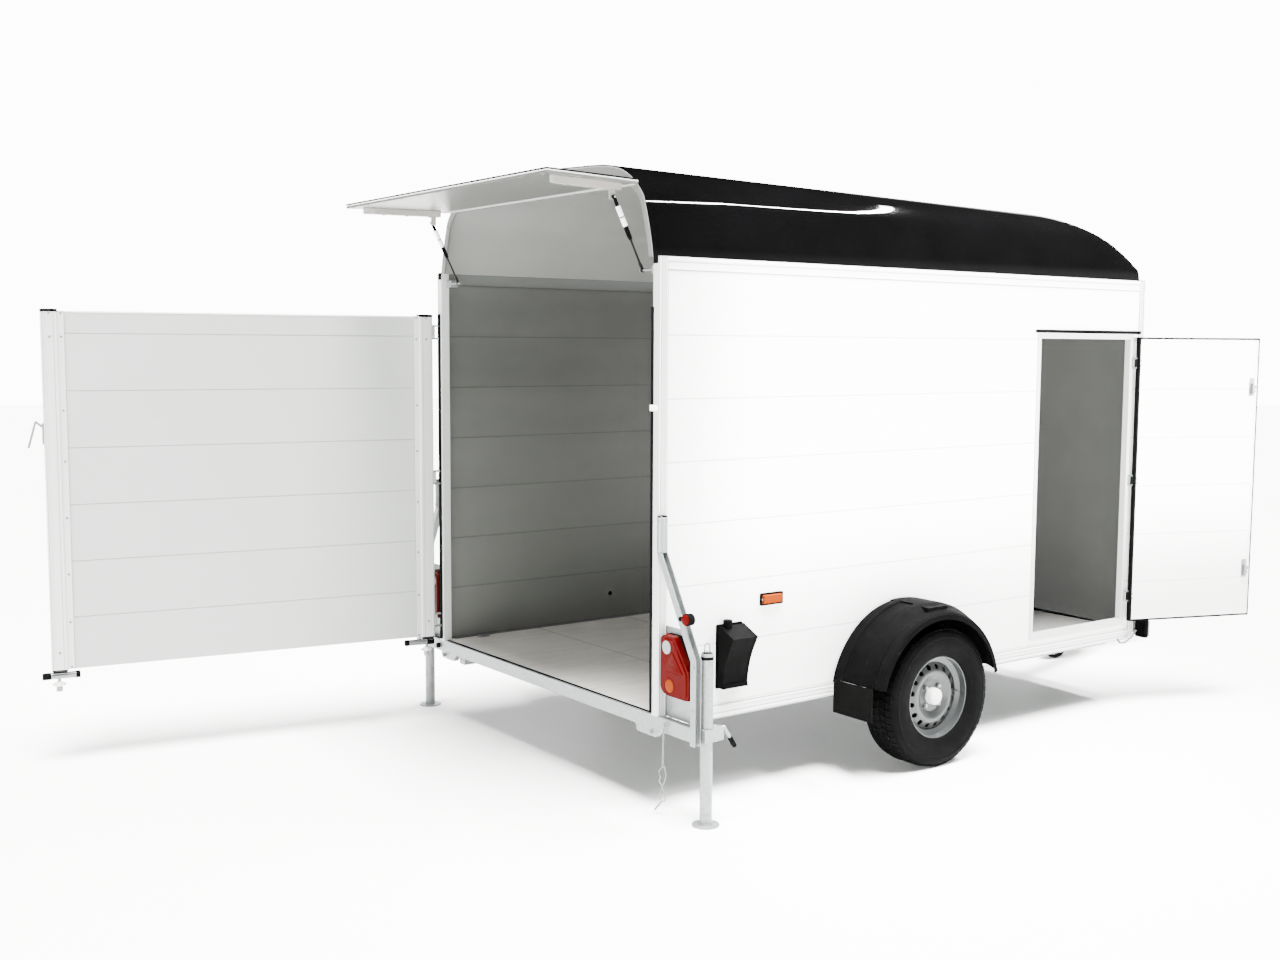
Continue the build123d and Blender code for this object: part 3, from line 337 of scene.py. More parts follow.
def rounded(outline, radius, steps=3):
    """An outline with its corners rounded."""
    out = []
    for i in range(len(outline)):
        corner, before, after = (Vector(outline[k % len(outline)]) for k in (i, i - 1, i + 1))
        first, last = (corner + (end - corner).normalized() * min(radius, (end - corner).length / 2.1)
                       for end in (before, after))
        for k in range(steps + 1):
            t = k / steps
            out.append(tuple(first * (1 - t) ** 2 + corner * 2 * t * (1 - t) + last * t ** 2))
    return out


def plate(mesh, outline, radius, heights, spot, normal, across, scale=1.0):
    """A rounded prism on an upright plane; its outline is (distance, height above ground)."""
    place = frame_at(spot, normal, across)
    flip = 1 if place.col[1].z > 0 else -1
    prism(mesh, rounded([(x, flip * z) for x, z in outline], radius), *heights, place, scale)


def lathe(mesh, profile, spot, normal, steps=28, closed=False, across=None):
    """A turned form: a profile of (radius, height) about a normal."""
    place = frame_at(spot, normal, across)
    rings = []
    for radius, height in profile:
        points = circle((0, 0, height), (radius, 0, 0), (0, radius, 0), steps if radius > 1e-6 else 1)
        rings.append([mesh.verts.new(place @ point) for point in points])
    skin(mesh, rings, closed)


def tube(mesh, points, radius, steps=10, closed=False):
    """A round bar along points, turned without twist."""
    points = [Vector(p) for p in points]
    count = len(points)
    side = None
    rings = []
    for i, point in enumerate(points):
        before = points[i - 1] if i or closed else point
        after = points[(i + 1) % count] if i < count - 1 or closed else point
        along = (after - before).normalized()
        side = side or along.cross(Vector(UP if abs(along.z) < 0.9 else ALONG)).normalized()
        side = (side - along * side.dot(along)).normalized()
        ring = circle(point, side * radius, along.cross(side) * radius, steps)
        rings.append([mesh.verts.new(corner) for corner in ring])
    skin(mesh, rings, closed)


def dome_screw(mesh, spot, normal, radius, height):
    """A low domed screw head."""
    lathe(mesh, [(radius, 0), (radius * 0.97, height * 0.4), (radius * 0.7, height * 0.85),
                 (radius * 0.3, height), (radius * 0.25, height * 0.5), (0, height * 0.45)], spot, normal, 12)


def hex_bolt(mesh, spot, normal, radius, height):
    """A hexagon head on a washer."""
    lathe(mesh, [(radius * 1.35, 0), (radius * 1.35, 0.0018), (radius, 0.0019)], spot, normal, 20)
    lathe(mesh, [(radius, 0.0017), (radius, height * 0.85), (radius * 0.85, height), (0, height)],
          spot, normal, 6)


def soften(obj, width):
    """A small rounding on an object's sharp edges."""
    modifier = obj.modifiers.new("edge", "BEVEL")
    modifier.width = width
    modifier.segments = 2
    modifier.limit_method = "ANGLE"
    modifier.angle_limit = math.radians(40)
    modifier.harden_normals = True


def piece(name, mesh, finish, body="trailer", bevel=0.0, replaces=(), sharp=38):
    """Finishes a mesh into a named piece on a body; its slot is named like its finish."""
    bmesh.ops.recalc_face_normals(mesh, faces=mesh.faces)
    data = bpy.data.meshes.new(name)
    mesh.to_mesh(data)
    mesh.free()
    data.materials.append(FINISHES[finish])
    data.shade_smooth()
    data.set_sharp_from_angle(angle=math.radians(sharp))
    obj = bpy.data.objects.new(name, data)
    bpy.context.scene.collection.objects.link(obj)
    if bevel:
        soften(obj, bevel)
    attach(obj, body)
    if replaces:
        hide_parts(*replaces)


def meshes(count):
    return [bmesh.new() for _ in range(count)]


# ---------------------------------------------------------------- finishes
WHITE, BLACK_SHINE = (0.80, 0.81, 0.79), 0.006
for row, more in (
    (("anodised", (0.40, 0.41, 0.40), 0.015, 8, (0.3, 0.4), 120), {"metallic": 0.1}),
    (("grey_lining", (0.165, 0.166, 0.16), 0.03, 5, (0.35, 0.5), 40), {"shine": 0.3}),
    (("black_plastic", (0.0014, 0.0014, 0.0015), 0.2, 12, (0.55, 0.7), 400),
     {"shine": BLACK_SHINE, "relief": (0.15, 0.0004)}),
    (("rubber", (0.0022, 0.0022, 0.0022), 0.2, 20, (0.75, 0.9), 300), {"shine": 0.01}),
    (("tyre", (0.0016, 0.0016, 0.0017), 0.25, 14, (0.6, 0.8), 200),
     {"shine": 0.014, "relief": (0.15, 0.0005)}),
    (("silver_paint", (0.042, 0.044, 0.045), 0.03, 30, (0.24, 0.32), 900),
     {"metallic": 0.45, "shine": 0.12, "coat": 0.02}),
    (("zinc", (0.15, 0.153, 0.157), 0.05, 30, (0.25, 0.38), 500), {"metallic": 0.6}),
    (("drum_black", (0.003, 0.003, 0.003), 0.2, 20, (0.75, 0.85), 100), {"shine": 0.0}),
    (("seal_black", (0.002, 0.002, 0.0022), 0.2, 30, (0.7, 0.85), 300), {"shine": 0.01}),
    (("knob_white", (0.72, 0.73, 0.71), 0.02, 30, (0.3, 0.4), 200), {}),
    # seam_shade is the grey of the painted shade in profile grooves and along post edges
    (("seam_shade", (0.16, 0.165, 0.16), 0.05, 12, (0.5, 0.6), 100), {"shine": 0.2}),
    (("screw_zinc", (0.14, 0.145, 0.15), 0.1, 60, (0.35, 0.5), 500), {"metallic": 0.4}),
    (("trim_white", (0.79, 0.80, 0.79), 0.01, 6, (0.28, 0.36), 120), {}),
    (("bracket_cream", (0.21, 0.195, 0.185), 0.03, 20, (0.4, 0.5), 100), {"shine": 0.2}),
    (("gable_grey", (0.085, 0.087, 0.084), 0.03, 5, (0.4, 0.5), 40), {"shine": 0.15}),
    (("nose_grey", (0.05, 0.0505, 0.048), 0.04, 4, (0.4, 0.5), 40), {"shine": 0.15}),
    (("hood_black", (0.0013, 0.0013, 0.0014), 0.1, 20, (0.3, 0.4), 100), {"shine": BLACK_SHINE}),
    (("rod_black", (0.003, 0.003, 0.003), 0.1, 20, (0.3, 0.4), 100), {"shine": 0.05}),
):
    mottled(*row, **more)
lens("red_lens", (0.055, 0.0003, 0.0003))
lens("amber_lens", (0.15, 0.022, 0.0004))
lens("clear_lens", (0.22, 0.23, 0.23))
galvanised("galvanised", (0.17, 0.18, 0.183))
board("board")
lacquer("black_gloss", (WALL_TOP + 0.26, WALL_TOP + 0.34))
planked("white_panel", WHITE, 0.35)
# painted shade: the white rear door is painted grey, as it lies in less light
planked("door_shaded_white", (0.29, 0.305, 0.292), 0.28)
planked("wall_finish", WHITE, 0.4, (0.055, 0.056, 0.053), 0.8724)
planked("rail_finish", (0.66, 0.67, 0.66), 0, (0.06, 0.062, 0.06), HALF - 0.0135)
two_faced("hatch_finish", WHITE, (0.068, 0.069, 0.066), sum(c.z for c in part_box("hatch_panel")) / 2)
handbrake_finish("lever_finish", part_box("handbrake_lever")[1].z - 0.13)

SPECIAL = {"rear_door_panel": "door_shaded_white", "hatch_brackets": "bracket_cream", "wall_rails": "rail_finish",
           "hatch_panel": "hatch_finish", "handbrake_lever": "lever_finish"}
for word, _ in SIDES:
    SPECIAL |= {f"strut_rod_{word}": "rod_black", f"side_wall_{word}": "wall_finish",
                f"brake_drum_{word}": "drum_black"}
slot_of = {part["node"]: part["material_slot"] for part in frame["record"]["subparts"]}
for node, obj in frame["nodes"].items():
    obj.data.materials.clear()
    obj.data.materials.append(FINISHES[SPECIAL.get(node) or slot_of[node]])
for node in ("corner_posts", "rear_door_posts", "wall_rails", "side_door_frame", "rear_sill", "mudguards",
             "hatch_panel", "hatch_brackets", "light_guards", "side_door_panel", "side_door_edge", "drawbar",
             "overrun_housing", "chassis_rails", "side_door_latches", "side_lamps"):
    soften(frame["nodes"][node], 0.0012)


# ---------------------------------------------------------------- roof
# Points of the half section: inset from the flank, share of the rise, slope from upright in degrees.
SECTION = ((0, 0.0, 5), (0.025, 0.30, 15), (0.059, 0.58, 20), (0.064, 0.602, 29), (0.069, 0.622, 38),
           (0.152, 0.813, 58), (0.258, 0.919, 79), (0.553, 0.98, 87), (ROOF_HALF, 1.0, 90))
BROW = FRONT - 0.95             # where the crown turns down into the nose
CROWN_LINE = ((ROOF_LOW.x - 0.1, ROOF_RISE + 0.003), (FRONT - 1.85, ROOF_RISE - 0.014),
              (BROW, ROOF_RISE - 0.042))
BROW_LINE = ((BROW, ROOF_RISE - 0.042), (FRONT - 0.29, ROOF_RISE - 0.15), (NOSE, 0.0))
ROOF_FALL = 0.0175              # fall of the crown per metre towards the front
ROOF_COLUMNS = 60


def roof_section():
    """The section from flank to flank as (y, height), an arch with a crease along each shoulder."""
    curve = []
    for (in0, s0, a0), (in1, s1, a1) in zip(SECTION, SECTION[1:]):
        y0, y1, z0, z1 = ROOF_HALF - in0, ROOF_HALF - in1, s0 * ROOF_RISE, s1 * ROOF_RISE
        reach = math.hypot(y1 - y0, z1 - z0)
        steps = max(1, min(8, round(reach / 0.03)))
        a0, a1 = math.radians(a0), math.radians(a1)
        for k in range(steps):
            t = k / steps
            h = (2 * t ** 3 - 3 * t ** 2 + 1, (t ** 3 - 2 * t ** 2 + t) * reach,
                 -2 * t ** 3 + 3 * t ** 2, (t ** 3 - t ** 2) * reach)
            curve.append((h[0] * y0 - h[1] * math.sin(a0) + h[2] * y1 - h[3] * math.sin(a1),
                          h[0] * z0 + h[1] * math.cos(a0) + h[2] * z1 + h[3] * math.cos(a1)))
    curve.append((0.0, ROOF_RISE))
    return curve + [(-y, z) for y, z in curve[-2::-1]]


def arc(a, b, c, x):
    """Height at x on the circle through three (x, z) points."""
    (ax, az), (bx, bz), (cx, cz) = a, b, c
    d = 2 * (ax * (bz - cz) + bx * (cz - az) + cx * (az - bz))
    sa, sb, sc = (px ** 2 + pz ** 2 for px, pz in (a, b, c))
    ux = (sa * (bz - cz) + sb * (cz - az) + sc * (az - bz)) / d
    uz = (sa * (cx - bx) + sb * (ax - cx) + sc * (bx - ax)) / d
    radius = math.hypot(ax - ux, az - uz)
    return uz + math.sqrt(max(0.0, radius ** 2 - (x - ux) ** 2))


def nose_at(y):
    """Front end of the plan at a half width."""
    return NOSE - (NOSE - FRONT) * (y / WALL_HALF) ** 2


def roof_skin(outside, inside):
    """The roof as one sheet between two insets, falling to the bulged nose."""
    section = roof_section()
    mesh = bmesh.new()
    grids = []
    for shift in (outside, inside):
        grid = []
        for i in range(ROOF_COLUMNS + 1):
            row = []
            for y, z in section:
                y_in, z_in = y * (1 - shift / ROOF_HALF), z * (1 - shift / ROOF_RISE)
                run = (nose_at(y_in) - shift - ROOF_LOW.x) * (i / ROOF_COLUMNS) ** 0.8
                x = ROOF_LOW.x + run
                line = arc(*CROWN_LINE, x) if x < BROW else arc(*BROW_LINE, min(x, NOSE))
                height = max(0.0, min(z_in - ROOF_FALL * run * z / ROOF_RISE, line - shift))
                row.append(mesh.verts.new((x, y_in, WALL_TOP + height)))
            grid.append(row)
        grids.append(grid)
    for grid in grids:
        for row, following in zip(grid, grid[1:]):
            band(mesh, row, following, ring=False)
    band(mesh, grids[0][0], grids[1][0], ring=False)
    for end in (0, -1):
        band(mesh, *([row[end] for row in grid] for grid in grids), ring=False)
    bmesh.ops.remove_doubles(mesh, verts=mesh.verts, dist=0.00005)
    return mesh


def build_roof():
    """Black outer skin, the grey sheet under it, the nose's inner sheet and the gable's rim."""
    piece("roof_skin", roof_skin(0.0, 0.0035), "black_gloss", replaces=("roof_shell",), sharp=16)
    piece("roof_lining_sheet", roof_skin(0.005, 0.009), "grey_lining", replaces=("roof_lining",), sharp=16)

    mesh = bmesh.new()
    widths = [(k / 12 - 1) * (WALL_HALF - 0.012) for k in range(25)]
    plan = [(nose_at(y) - 0.006, y) for y in widths] + [(nose_at(y) - 0.010, y) for y in widths[::-1]]
    prism(mesh, plan, FLOOR + 0.001, WALL_TOP + 0.001)
    piece("nose_lining_sheet", mesh, "nose_grey", replaces=("roof_lining",), sharp=16)

    mesh = bmesh.new()
    loops = []
    for x in (ROOF_LOW.x + 0.0002, ROOF_LOW.x + 0.008):
        for inset, ceiling in ((0.004, math.inf), (0.032, WALL_TOP + 0.274)):
            keep_y, keep_z = 1 - inset / ROOF_HALF, 1 - inset / ROOF_RISE
            loops.append([mesh.verts.new((x, y * keep_y, min(WALL_TOP + z * keep_z, ceiling)))
                          for y, z in roof_section()])
    for first, second in ((0, 1), (2, 3), (1, 3), (0, 2)):
        band(mesh, loops[first], loops[second], ring=False)
    piece("gable_rim", mesh, "gable_grey", replaces=("rear_gable",), sharp=25)


# ---------------------------------------------------------------- body trims
def build_body_trims():
    """Raised edges of the rails and posts with grey strips of painted shade in their grooves, seals, rivets,
    rings and caps.
    """
    low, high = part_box("wall_rails")
    length = (REAR + 0.041, FRONT - 0.041)
    trims, groove_shade, seals, rivets = meshes(4)
    for side in SIGNS:
        y = span(side, WALL_HALF, WALL_HALF + 0.0025)
        for z in (low.z + 0.008, low.z + 0.040, high.z - 0.047, high.z - 0.012):
            block(trims, length, y, (z, z + 0.005))
        for x in (REAR + 0.002, REAR + 0.034, FRONT - 0.038, FRONT - 0.006):
            block(trims, (x, x + 0.004), y, (low.z + 0.052, high.z - 0.004))
        # painted shade: grey strips in the grooves of the rails and along the posts
        y = span(side, WALL_HALF - 0.0004, WALL_HALF + 0.0007)
        for z in (low.z + 0.0175, low.z + 0.0495, high.z - 0.0505, high.z - 0.021):
            block(groove_shade, length, y, (z, z + 0.0022))
        for x in (REAR + 0.0085, REAR + 0.0395, FRONT - 0.0415, FRONT - 0.0105):
            block(groove_shade, (x, x + 0.0020), y, (low.z + 0.004, high.z - 0.004))
        block(seals, (REAR - 0.002, REAR + 0.014), span(side, HALF - 0.037, HALF - 0.008),
              (WALL_TOP - 0.027, WALL_TOP + 0.006))
        strip = (HALF - 0.025, HALF - 0.003) if side > 0 else (HALF - 0.045, HALF - 0.033)
        block(seals, (REAR - 0.005, REAR), span(side, *strip), (FLOOR + 0.008, WALL_TOP - 0.19))
        spots = [(REAR + 0.15 + k * (FRONT - REAR - 0.3) / 11, z)
                 for k in range(12) for z in (low.z + 0.026, high.z - 0.028)]
        spots = [(x, z) for x, z in spots if not (side < 0 and 0.85 < x < 1.62 and z < 0.4)]
        for x, z in spots + [(FRONT - 0.018, 0.46 + k * 0.23) for k in range(8)]:
            dome_screw(rivets, (x, side * WALL_HALF, z), (0, side, 0), 0.0045, 0.0018)
    piece("body_trim_lines", trims, "trim_white", bevel=0.0008)
    piece("body_groove_shade_lines", groove_shade, "seam_shade")
    piece("rear_seals", seals, "seal_black", bevel=0.001)
    piece("rail_rivets", rivets, "trim_white")

    pin, gasket, rings, caps, top_seal = meshes(5)
    block(pin, (REAR - 0.035, REAR - 0.001), (-HALF, -HALF + 0.012), (1.567, 1.590))
    lathe(pin, [(0.006, 0), (0.006, 0.03), (0.004, 0.034), (0, 0.034)],
          (REAR - 0.002, -HALF + 0.006, 1.5785), BACK, 14)
    sill_low, sill_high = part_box("rear_sill")
    block(gasket, (sill_low.x + 0.026, sill_low.x + 0.034), (-HALF + 0.045, HALF - 0.045),
          (sill_high.z - 0.001, sill_high.z + 0.004))
    for side in SIGNS:
        spot = Vector((REAR + 0.213, side * (HALF - 0.05), FLOOR))
        prism(rings, rounded(rectangle(-0.03, 0.03, -0.016, 0.016), 0.008), 0, 0.003,
              frame_at(spot, UP, ALONG))
        tube(rings, circle(spot + Vector((0, 0, 0.0075)), (0.024, 0, 0), (0, 0.013, 0), 20), 0.0035, 8, True)
        for dx in (-0.022, 0.022):
            dome_screw(rings, spot + Vector((dx, 0, 0.003)), UP, 0.005, 0.002)
        lathe(caps, [(0.011, 0), (0.011, 0.002), (0.009, 0.004), (0.006, 0.004), (0.005, 0.002), (0, 0.002)],
              (REAR + 0.991, side * (HALF - 0.0252), 0.516), (0, -side, 0), 24)
        block(top_seal, (REAR + 0.002, FRONT - 0.002), span(side, HALF - 0.027, HALF + 0.001),
              (WALL_TOP + 0.0002, WALL_TOP + 0.004))
    piece("post_pin", pin, "knob_white", bevel=0.002)
    piece("sill_gasket", gasket, "seal_black", bevel=0.001)
    piece("floor_rings", rings, "zinc")
    piece("wall_caps", caps, "seal_black")
    piece("wall_top_seal", top_seal, "seal_black")


# ---------------------------------------------------------------- lamps
def build_tail_lamps():
    """Slanted lamps with a raised lens, two round windows and a reflector triangle."""
    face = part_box("tail_lamps")[1].x
    outline = [(0.902, 0.502), (0.902, 0.700), (0.914, 0.712), (0.990, 0.712), (1.084, 0.585),
               (1.086, 0.488), (1.074, 0.474), (0.940, 0.474), (0.915, 0.484)]
    raised = [(0.912, 0.515), (0.912, 0.692), (0.920, 0.700), (0.982, 0.700), (1.070, 0.580),
              (1.072, 0.495), (1.066, 0.486), (0.945, 0.486), (0.922, 0.492)]
    reflector = [(0.985, 0.655), (0.936, 0.572), (1.060, 0.572)]
    shell, lenses, clear, amber = meshes(4)
    for side in SIGNS:
        for mesh, shape, radius, heights, scale in (
                (shell, outline, 0.006, (0.0, 0.018), 1.0), (lenses, outline, 0.010, (0.0175, 0.040), 0.965),
                (lenses, raised, 0.010, (0.040, 0.045), 0.97),
                (lenses, reflector, 0.006, (0.0445, 0.0472), 0.9)):
            plate(mesh, shape, radius, heights, (face, 0, 0), BACK, (0, side, 0), scale)
        for mesh, y, z, radius in ((clear, 0.948, 0.665, 0.026), (amber, 0.968, 0.518, 0.025)):
            lathe(mesh, [(radius, 0), (radius, 0.0018), (radius * 0.93, 0.003), (radius * 0.5, 0.00315),
                         (0, 0.00315)], (face - 0.044, side * y, z), BACK, 30)
            tube(lenses, circle((face - 0.0446, side * y, z), (0, side * 0.031, 0), (0, 0, -side * 0.031), 28),
                 0.0018, 6, True)
        for k in range(7):
            z = 0.578 + k * 0.011
            reach = (0.655 - z) / 0.083
            block(lenses, (face - 0.0478, face - 0.0470),
                  span(side, 0.985 - 0.045 * reach, 0.985 + 0.066 * reach), (z, z + 0.003))
    piece("tail_lamp_housings", shell, "black_plastic", bevel=0.001)
    piece("tail_lamp_lenses", lenses, "red_lens", bevel=0.001, replaces=("tail_lamps",))
    piece("tail_lamp_windows", clear, "clear_lens")
    piece("tail_lamp_indicators", amber, "amber_lens")


def build_small_lamps():
    """Marker lamps on ribbed arms, side lamps, and front position lamps on brackets."""
    low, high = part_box("marker_lamps")
    reach = (high.x - low.x) / 2
    arms, red, white = meshes(3)
    for side in SIGNS:
        middle = Vector(((low.x + high.x) / 2, side * (high.y - 0.0235), high.z - 0.0235))
        tube(arms, [(middle.x + dx, side * y, z) for dx, y, z in
                    ((0.002, 1.034, 0.7895), (0, 1.055, 0.7905), (-0.001, 1.075, 0.7935))], 0.0078, 14)
        for k in range(5):
            lathe(arms, [(0.0092, -0.0015), (0.0100, 0), (0.0092, 0.0015)],
                  (middle.x + 0.0015, side * (1.038 + 0.007 * k), 0.79 + 0.0003 * k), (0, side, 0.1), 16)
        lathe(arms, [(0.0225, -reach + 0.008), (0.0232, -0.006), (0.0232, 0.006), (0.0225, reach - 0.008)],
              middle, ALONG, 32)
        for mesh, way in ((red, -1), (white, 1)):
            lathe(mesh, [(0.021, 0), (0.0208, 0.004), (0.017, 0.0075), (0.009, 0.009), (0, 0.009)],
                  middle + Vector((way * (reach - 0.009), 0, 0)), (way, 0, 0), 32)
    piece("marker_arms", arms, "rubber", replaces=("marker_lamps",))
    piece("marker_lenses_rear", red, "red_lens")
    piece("marker_lenses_front", white, "clear_lens")

    low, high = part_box("side_lamps")
    base, screws = meshes(2)
    for side in SIGNS:
        plate(base, rectangle(low.x - 0.004, high.x + 0.004, low.z - 0.003, high.z + 0.003), 0.006,
              (0.0, 0.0085), (0, side * HALF, 0), (0, side, 0), ALONG)
        for x in (low.x + 0.006, high.x - 0.006):
            dome_screw(screws, (x, side * (HALF + 0.0085), (low.z + high.z) / 2), (0, side, 0), 0.004, 0.002)
    piece("side_lamp_bases", base, "black_plastic", bevel=0.001)
    piece("side_lamp_screws", screws, "zinc")

    brackets, housings, glass = meshes(3)
    for mesh, x0, x1, near, far, z in ((brackets, 0.0005, 0.066, 0.872, 0.875, (0.377, 0.424)),
                                       (brackets, 0.063, 0.066, 0.845, 0.93, (0.345, 0.424)),
                                       (housings, 0.038, 0.0625, 0.876, 0.939, (0.334, 0.426)),
                                       (glass, 0.0665, 0.0775, 0.880, 0.936, (0.340, 0.421))):
        for side in SIGNS:
            block(mesh, (FRONT + x0, FRONT + x1), span(side, near, far), z)
    piece("front_lamp_brackets", brackets, "galvanised", bevel=0.0008)
    piece("front_lamp_housings", housings, "black_plastic", bevel=0.003)
    piece("front_lamp_glass", glass, "clear_lens", bevel=0.003)


# ---------------------------------------------------------------- wheels
def build_wheel(word, side):
    """Tyre with its tread, hub cap, bolts, valve, drum face, and a black sheet on the wall behind the wheel as
    painted shade under the arch.
    """
    body, tyre = f"wheel_{word}", f"tyre_{word}"
    centre = joint_at[f"wheel_{word}_spin"]
    low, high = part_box(tyre)
    radius, half = (high.x - low.x) / 2, (high.y - low.y) / 2
    middle, out = Vector((0, (low.y + high.y) / 2, centre.z)), (0, side, 0)
    base = radius - 0.008           # bottom of the grooves
    mesh = bmesh.new()
    side_wall = [(0.178, -0.070), (0.184, -0.076), (0.200, -0.0815), (0.215, -0.0885), (0.232, -0.0915),
                 (0.250, -half), (0.262, -0.0915), (0.264, -0.0925), (0.268, -0.0925), (0.270, -0.0905),
                 (0.284, -0.0870), (0.293, -0.0790), (base - 0.001, -0.070)]
    floor = [(base, y) for y in (-0.048, -0.046, -0.018, -0.016, 0.016, 0.018, 0.046, 0.048)]
    lathe(mesh, side_wall + floor + [(r, -y) for r, y in side_wall[::-1]], middle, out, 128, True, ALONG)
    outward = frame_at(middle, out, ALONG)
    pitches = 60
    # Rows of tread blocks: from, to, skew, share of the pitch, shift, drop of the shoulder.
    rows = ((-0.077, -0.049, 0.10, 0.86, 0.0, 0.006), (-0.045, -0.0185, 0.35, 0.84, 0.3, 0),
            (-0.0145, 0.0145, -0.22, 0.92, 0.6, 0), (0.0185, 0.045, 0.35, 0.84, 0.1, 0),
            (0.049, 0.077, 0.10, 0.86, 0.45, 0.006))
    for k in range(pitches):
        for start, end, skew, share, shift, drop in rows:
            corners = []
            for y, edge in ((start, 0), (end, 0), (end, 1), (start, 1)):
                lean = skew * (y - start) / (end - start)
                angle = 2 * math.pi / pitches * (k + shift + lean + share * edge)
                for r in (base - 0.002, radius - (drop if abs(y) > 0.07 else 0)):
                    spot = Vector((r * math.cos(angle), r * math.sin(angle), y))
                    corners.append(mesh.verts.new(outward @ spot))
            for quad in ((1, 3, 5, 7), (0, 6, 4, 2), (0, 2, 3, 1), (2, 4, 5, 3), (4, 6, 7, 5), (6, 0, 1, 7)):
                mesh.faces.new([corners[i] for i in quad])
    piece(f"{tyre}_tread", mesh, "tyre", body=body, replaces=(tyre,), sharp=30)

    hub = centre.y + side * 0.022
    cap, bolts, drum, arch = meshes(4)
    lathe(cap, [(0.0365, 0.000), (0.0365, 0.028), (0.0345, 0.037), (0.028, 0.042), (0.018, 0.0445),
                (0.008, 0.0455), (0, 0.0455)], (0, centre.y + side * 0.0225, centre.z), out, 40)
    piece(f"hub_cap_{word}", cap, "knob_white", body)
    for k in range(4):
        angle = math.pi / 2 * k + 0.785
        spot = (0.056 * math.cos(angle), hub + side * 0.0005, centre.z + 0.056 * math.sin(angle))
        lathe(bolts, [(0.0125, 0), (0.0095, 0.006), (0.0090, 0.007)], spot, out, 22)
        lathe(bolts, [(0.0088, 0.005), (0.0088, 0.017), (0.0072, 0.0195), (0, 0.0195)], spot, out, 6)
    valve = Vector((0.150, hub + side * 0.004, centre.z))
    tube(bolts, [valve, valve + Vector((0.004, side * 0.022, 0))], 0.0035)
    piece(f"wheel_bolts_{word}", bolts, "zinc", body=body)
    lathe(drum, [(0.112, -0.004), (0.150, -0.004), (0.150, 0.0), (0.112, 0.0)],
          (0, hub - side * 0.050, centre.z), out, 60)
    piece(f"drum_face_{word}", drum, "drum_black", body)
    # painted shade: a flat black sheet on the wall stands for the shade under the mudguard
    outline = [(-0.03 + 0.404 * math.cos(math.radians(a)), side * (-0.306 - 0.404 * math.sin(math.radians(a))))
               for a in range(12, 169, 4)]
    prism(arch, outline, 0, 0.002, frame_at((0, side * (HALF + 0.0006), 0), out, ALONG))
    piece(f"wheel_arch_shade_{word}", arch, "black_plastic")


# ---------------------------------------------------------------- doors
def door_frame(joint, heading):
    """The placing of an open door: X along it, Y out of its face, Z up from the ground."""
    hinge, angle = joint_at[joint], math.radians(heading)
    return frame_at((hinge.x, hinge.y, 0), UP, (math.cos(angle), math.sin(angle), 0))


def build_rear_door():
    """Caps, grey lines of painted shade along the post edges, knobs, screws and edges of the rear door."""
    place = door_frame("rear_door_hinge", REAR_DOOR_HEADING)
    along, inward = place.col[0].xyz, place.col[1].xyz
    low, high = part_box("rear_door_posts")
    bottom, top = low.z, high.z
    near, far, post = 0.012, 1.732, 0.065
    face, post_face = 0.0176, 0.024         # inner faces of the flanges and of the posts
    middles = (near + post / 2, far - post / 2)

    def at(x, y, z):
        return place @ Vector((x, y, z))

    caps, edge_shade, knobs, screws, edges = meshes(5)
    for x in (near, far - post):
        for inset, y, z in ((-0.0005, (-0.0205, 0.0250), (top - 0.004, top + 0.008)),
                            (0.001, (-0.017, 0.021), (bottom - 0.006, bottom + 0.0005)),
                            (0.004, (-0.015, 0.019), (bottom - 0.015, bottom - 0.010))):
            block(caps, (x + inset, x + post - inset), y, z, place)
    for start, end in ((near, near + 0.036), (near + 0.126, near + 0.144), (far - 0.114, far - 0.096),
                       (far + 0.004, far + 0.038)):
        lathe(caps, [(0.0152, 0), (0.0152, end - start)], at(start, 0, bottom - 0.028), along, 24)
    for middle in middles:
        lathe(caps, [(0.0075, 0), (0.0075, 0.03)], at(middle + 0.004, 0, bottom - 0.085), UP, 16)
        spot = at(middle + 0.004, 0, bottom - 0.066)
        prism(knobs, rounded(rectangle(-0.024, 0.024, -0.007, 0.007), 0.006), -0.007, 0.008,
              frame_at(spot, UP, along), 0.9)
        lathe(knobs, [(0.0135, -0.008), (0.0135, 0.009), (0.010, 0.012), (0, 0.012)], spot, UP, 22)
        for z in (0.075, 1.431, 1.531):
            dome_screw(screws, at(middle, post_face, bottom + z), inward, 0.0055, 0.0024)
    # painted shade: thin grey strips along the edges of the posts and flanges
    for x, y in ((near + 0.004, post_face), (near + 0.048, post_face), (near + post + 0.0265, face),
                 (far - 0.006, post_face), (far - 0.050, post_face), (far - post - 0.028, face)):
        block(edge_shade, (x, x + 0.0018), (y - 0.0004, y + 0.0006), (bottom + 0.002, top - 0.004), place)
    for x in (near + post + 0.014, far - post - 0.014):
        for z in (0.009, 0.205, 0.413, 0.657, 0.900, 1.118, 1.431, 1.531):
            dome_screw(screws, at(x, face, bottom + z), inward, 0.0055, 0.0024)
    for inset, y, z in ((0.030, (0.0148, 0.0160), (top - 0.006, top - 0.001)),
                        (0.001, (-0.0135, -0.0108), (bottom + 0.001, bottom + 0.012))):
        block(edges, (near + post + inset, far - post - inset), y, z, place)
    for name, mesh, finish, slot, bevel in (
            ("caps", caps, "seal_black", "rubber", 0.0008), ("edge_shade", edge_shade, "seam_shade", "anodised", 0),
            ("knobs", knobs, "knob_white", "anodised", 0.002), ("screws", screws, "screw_zinc", "zinc", 0),
            ("edges", edges, "trim_white", "anodised", 0.0005)):
        piece(f"rear_door_{name}", mesh, finish, "rear_door", bevel)


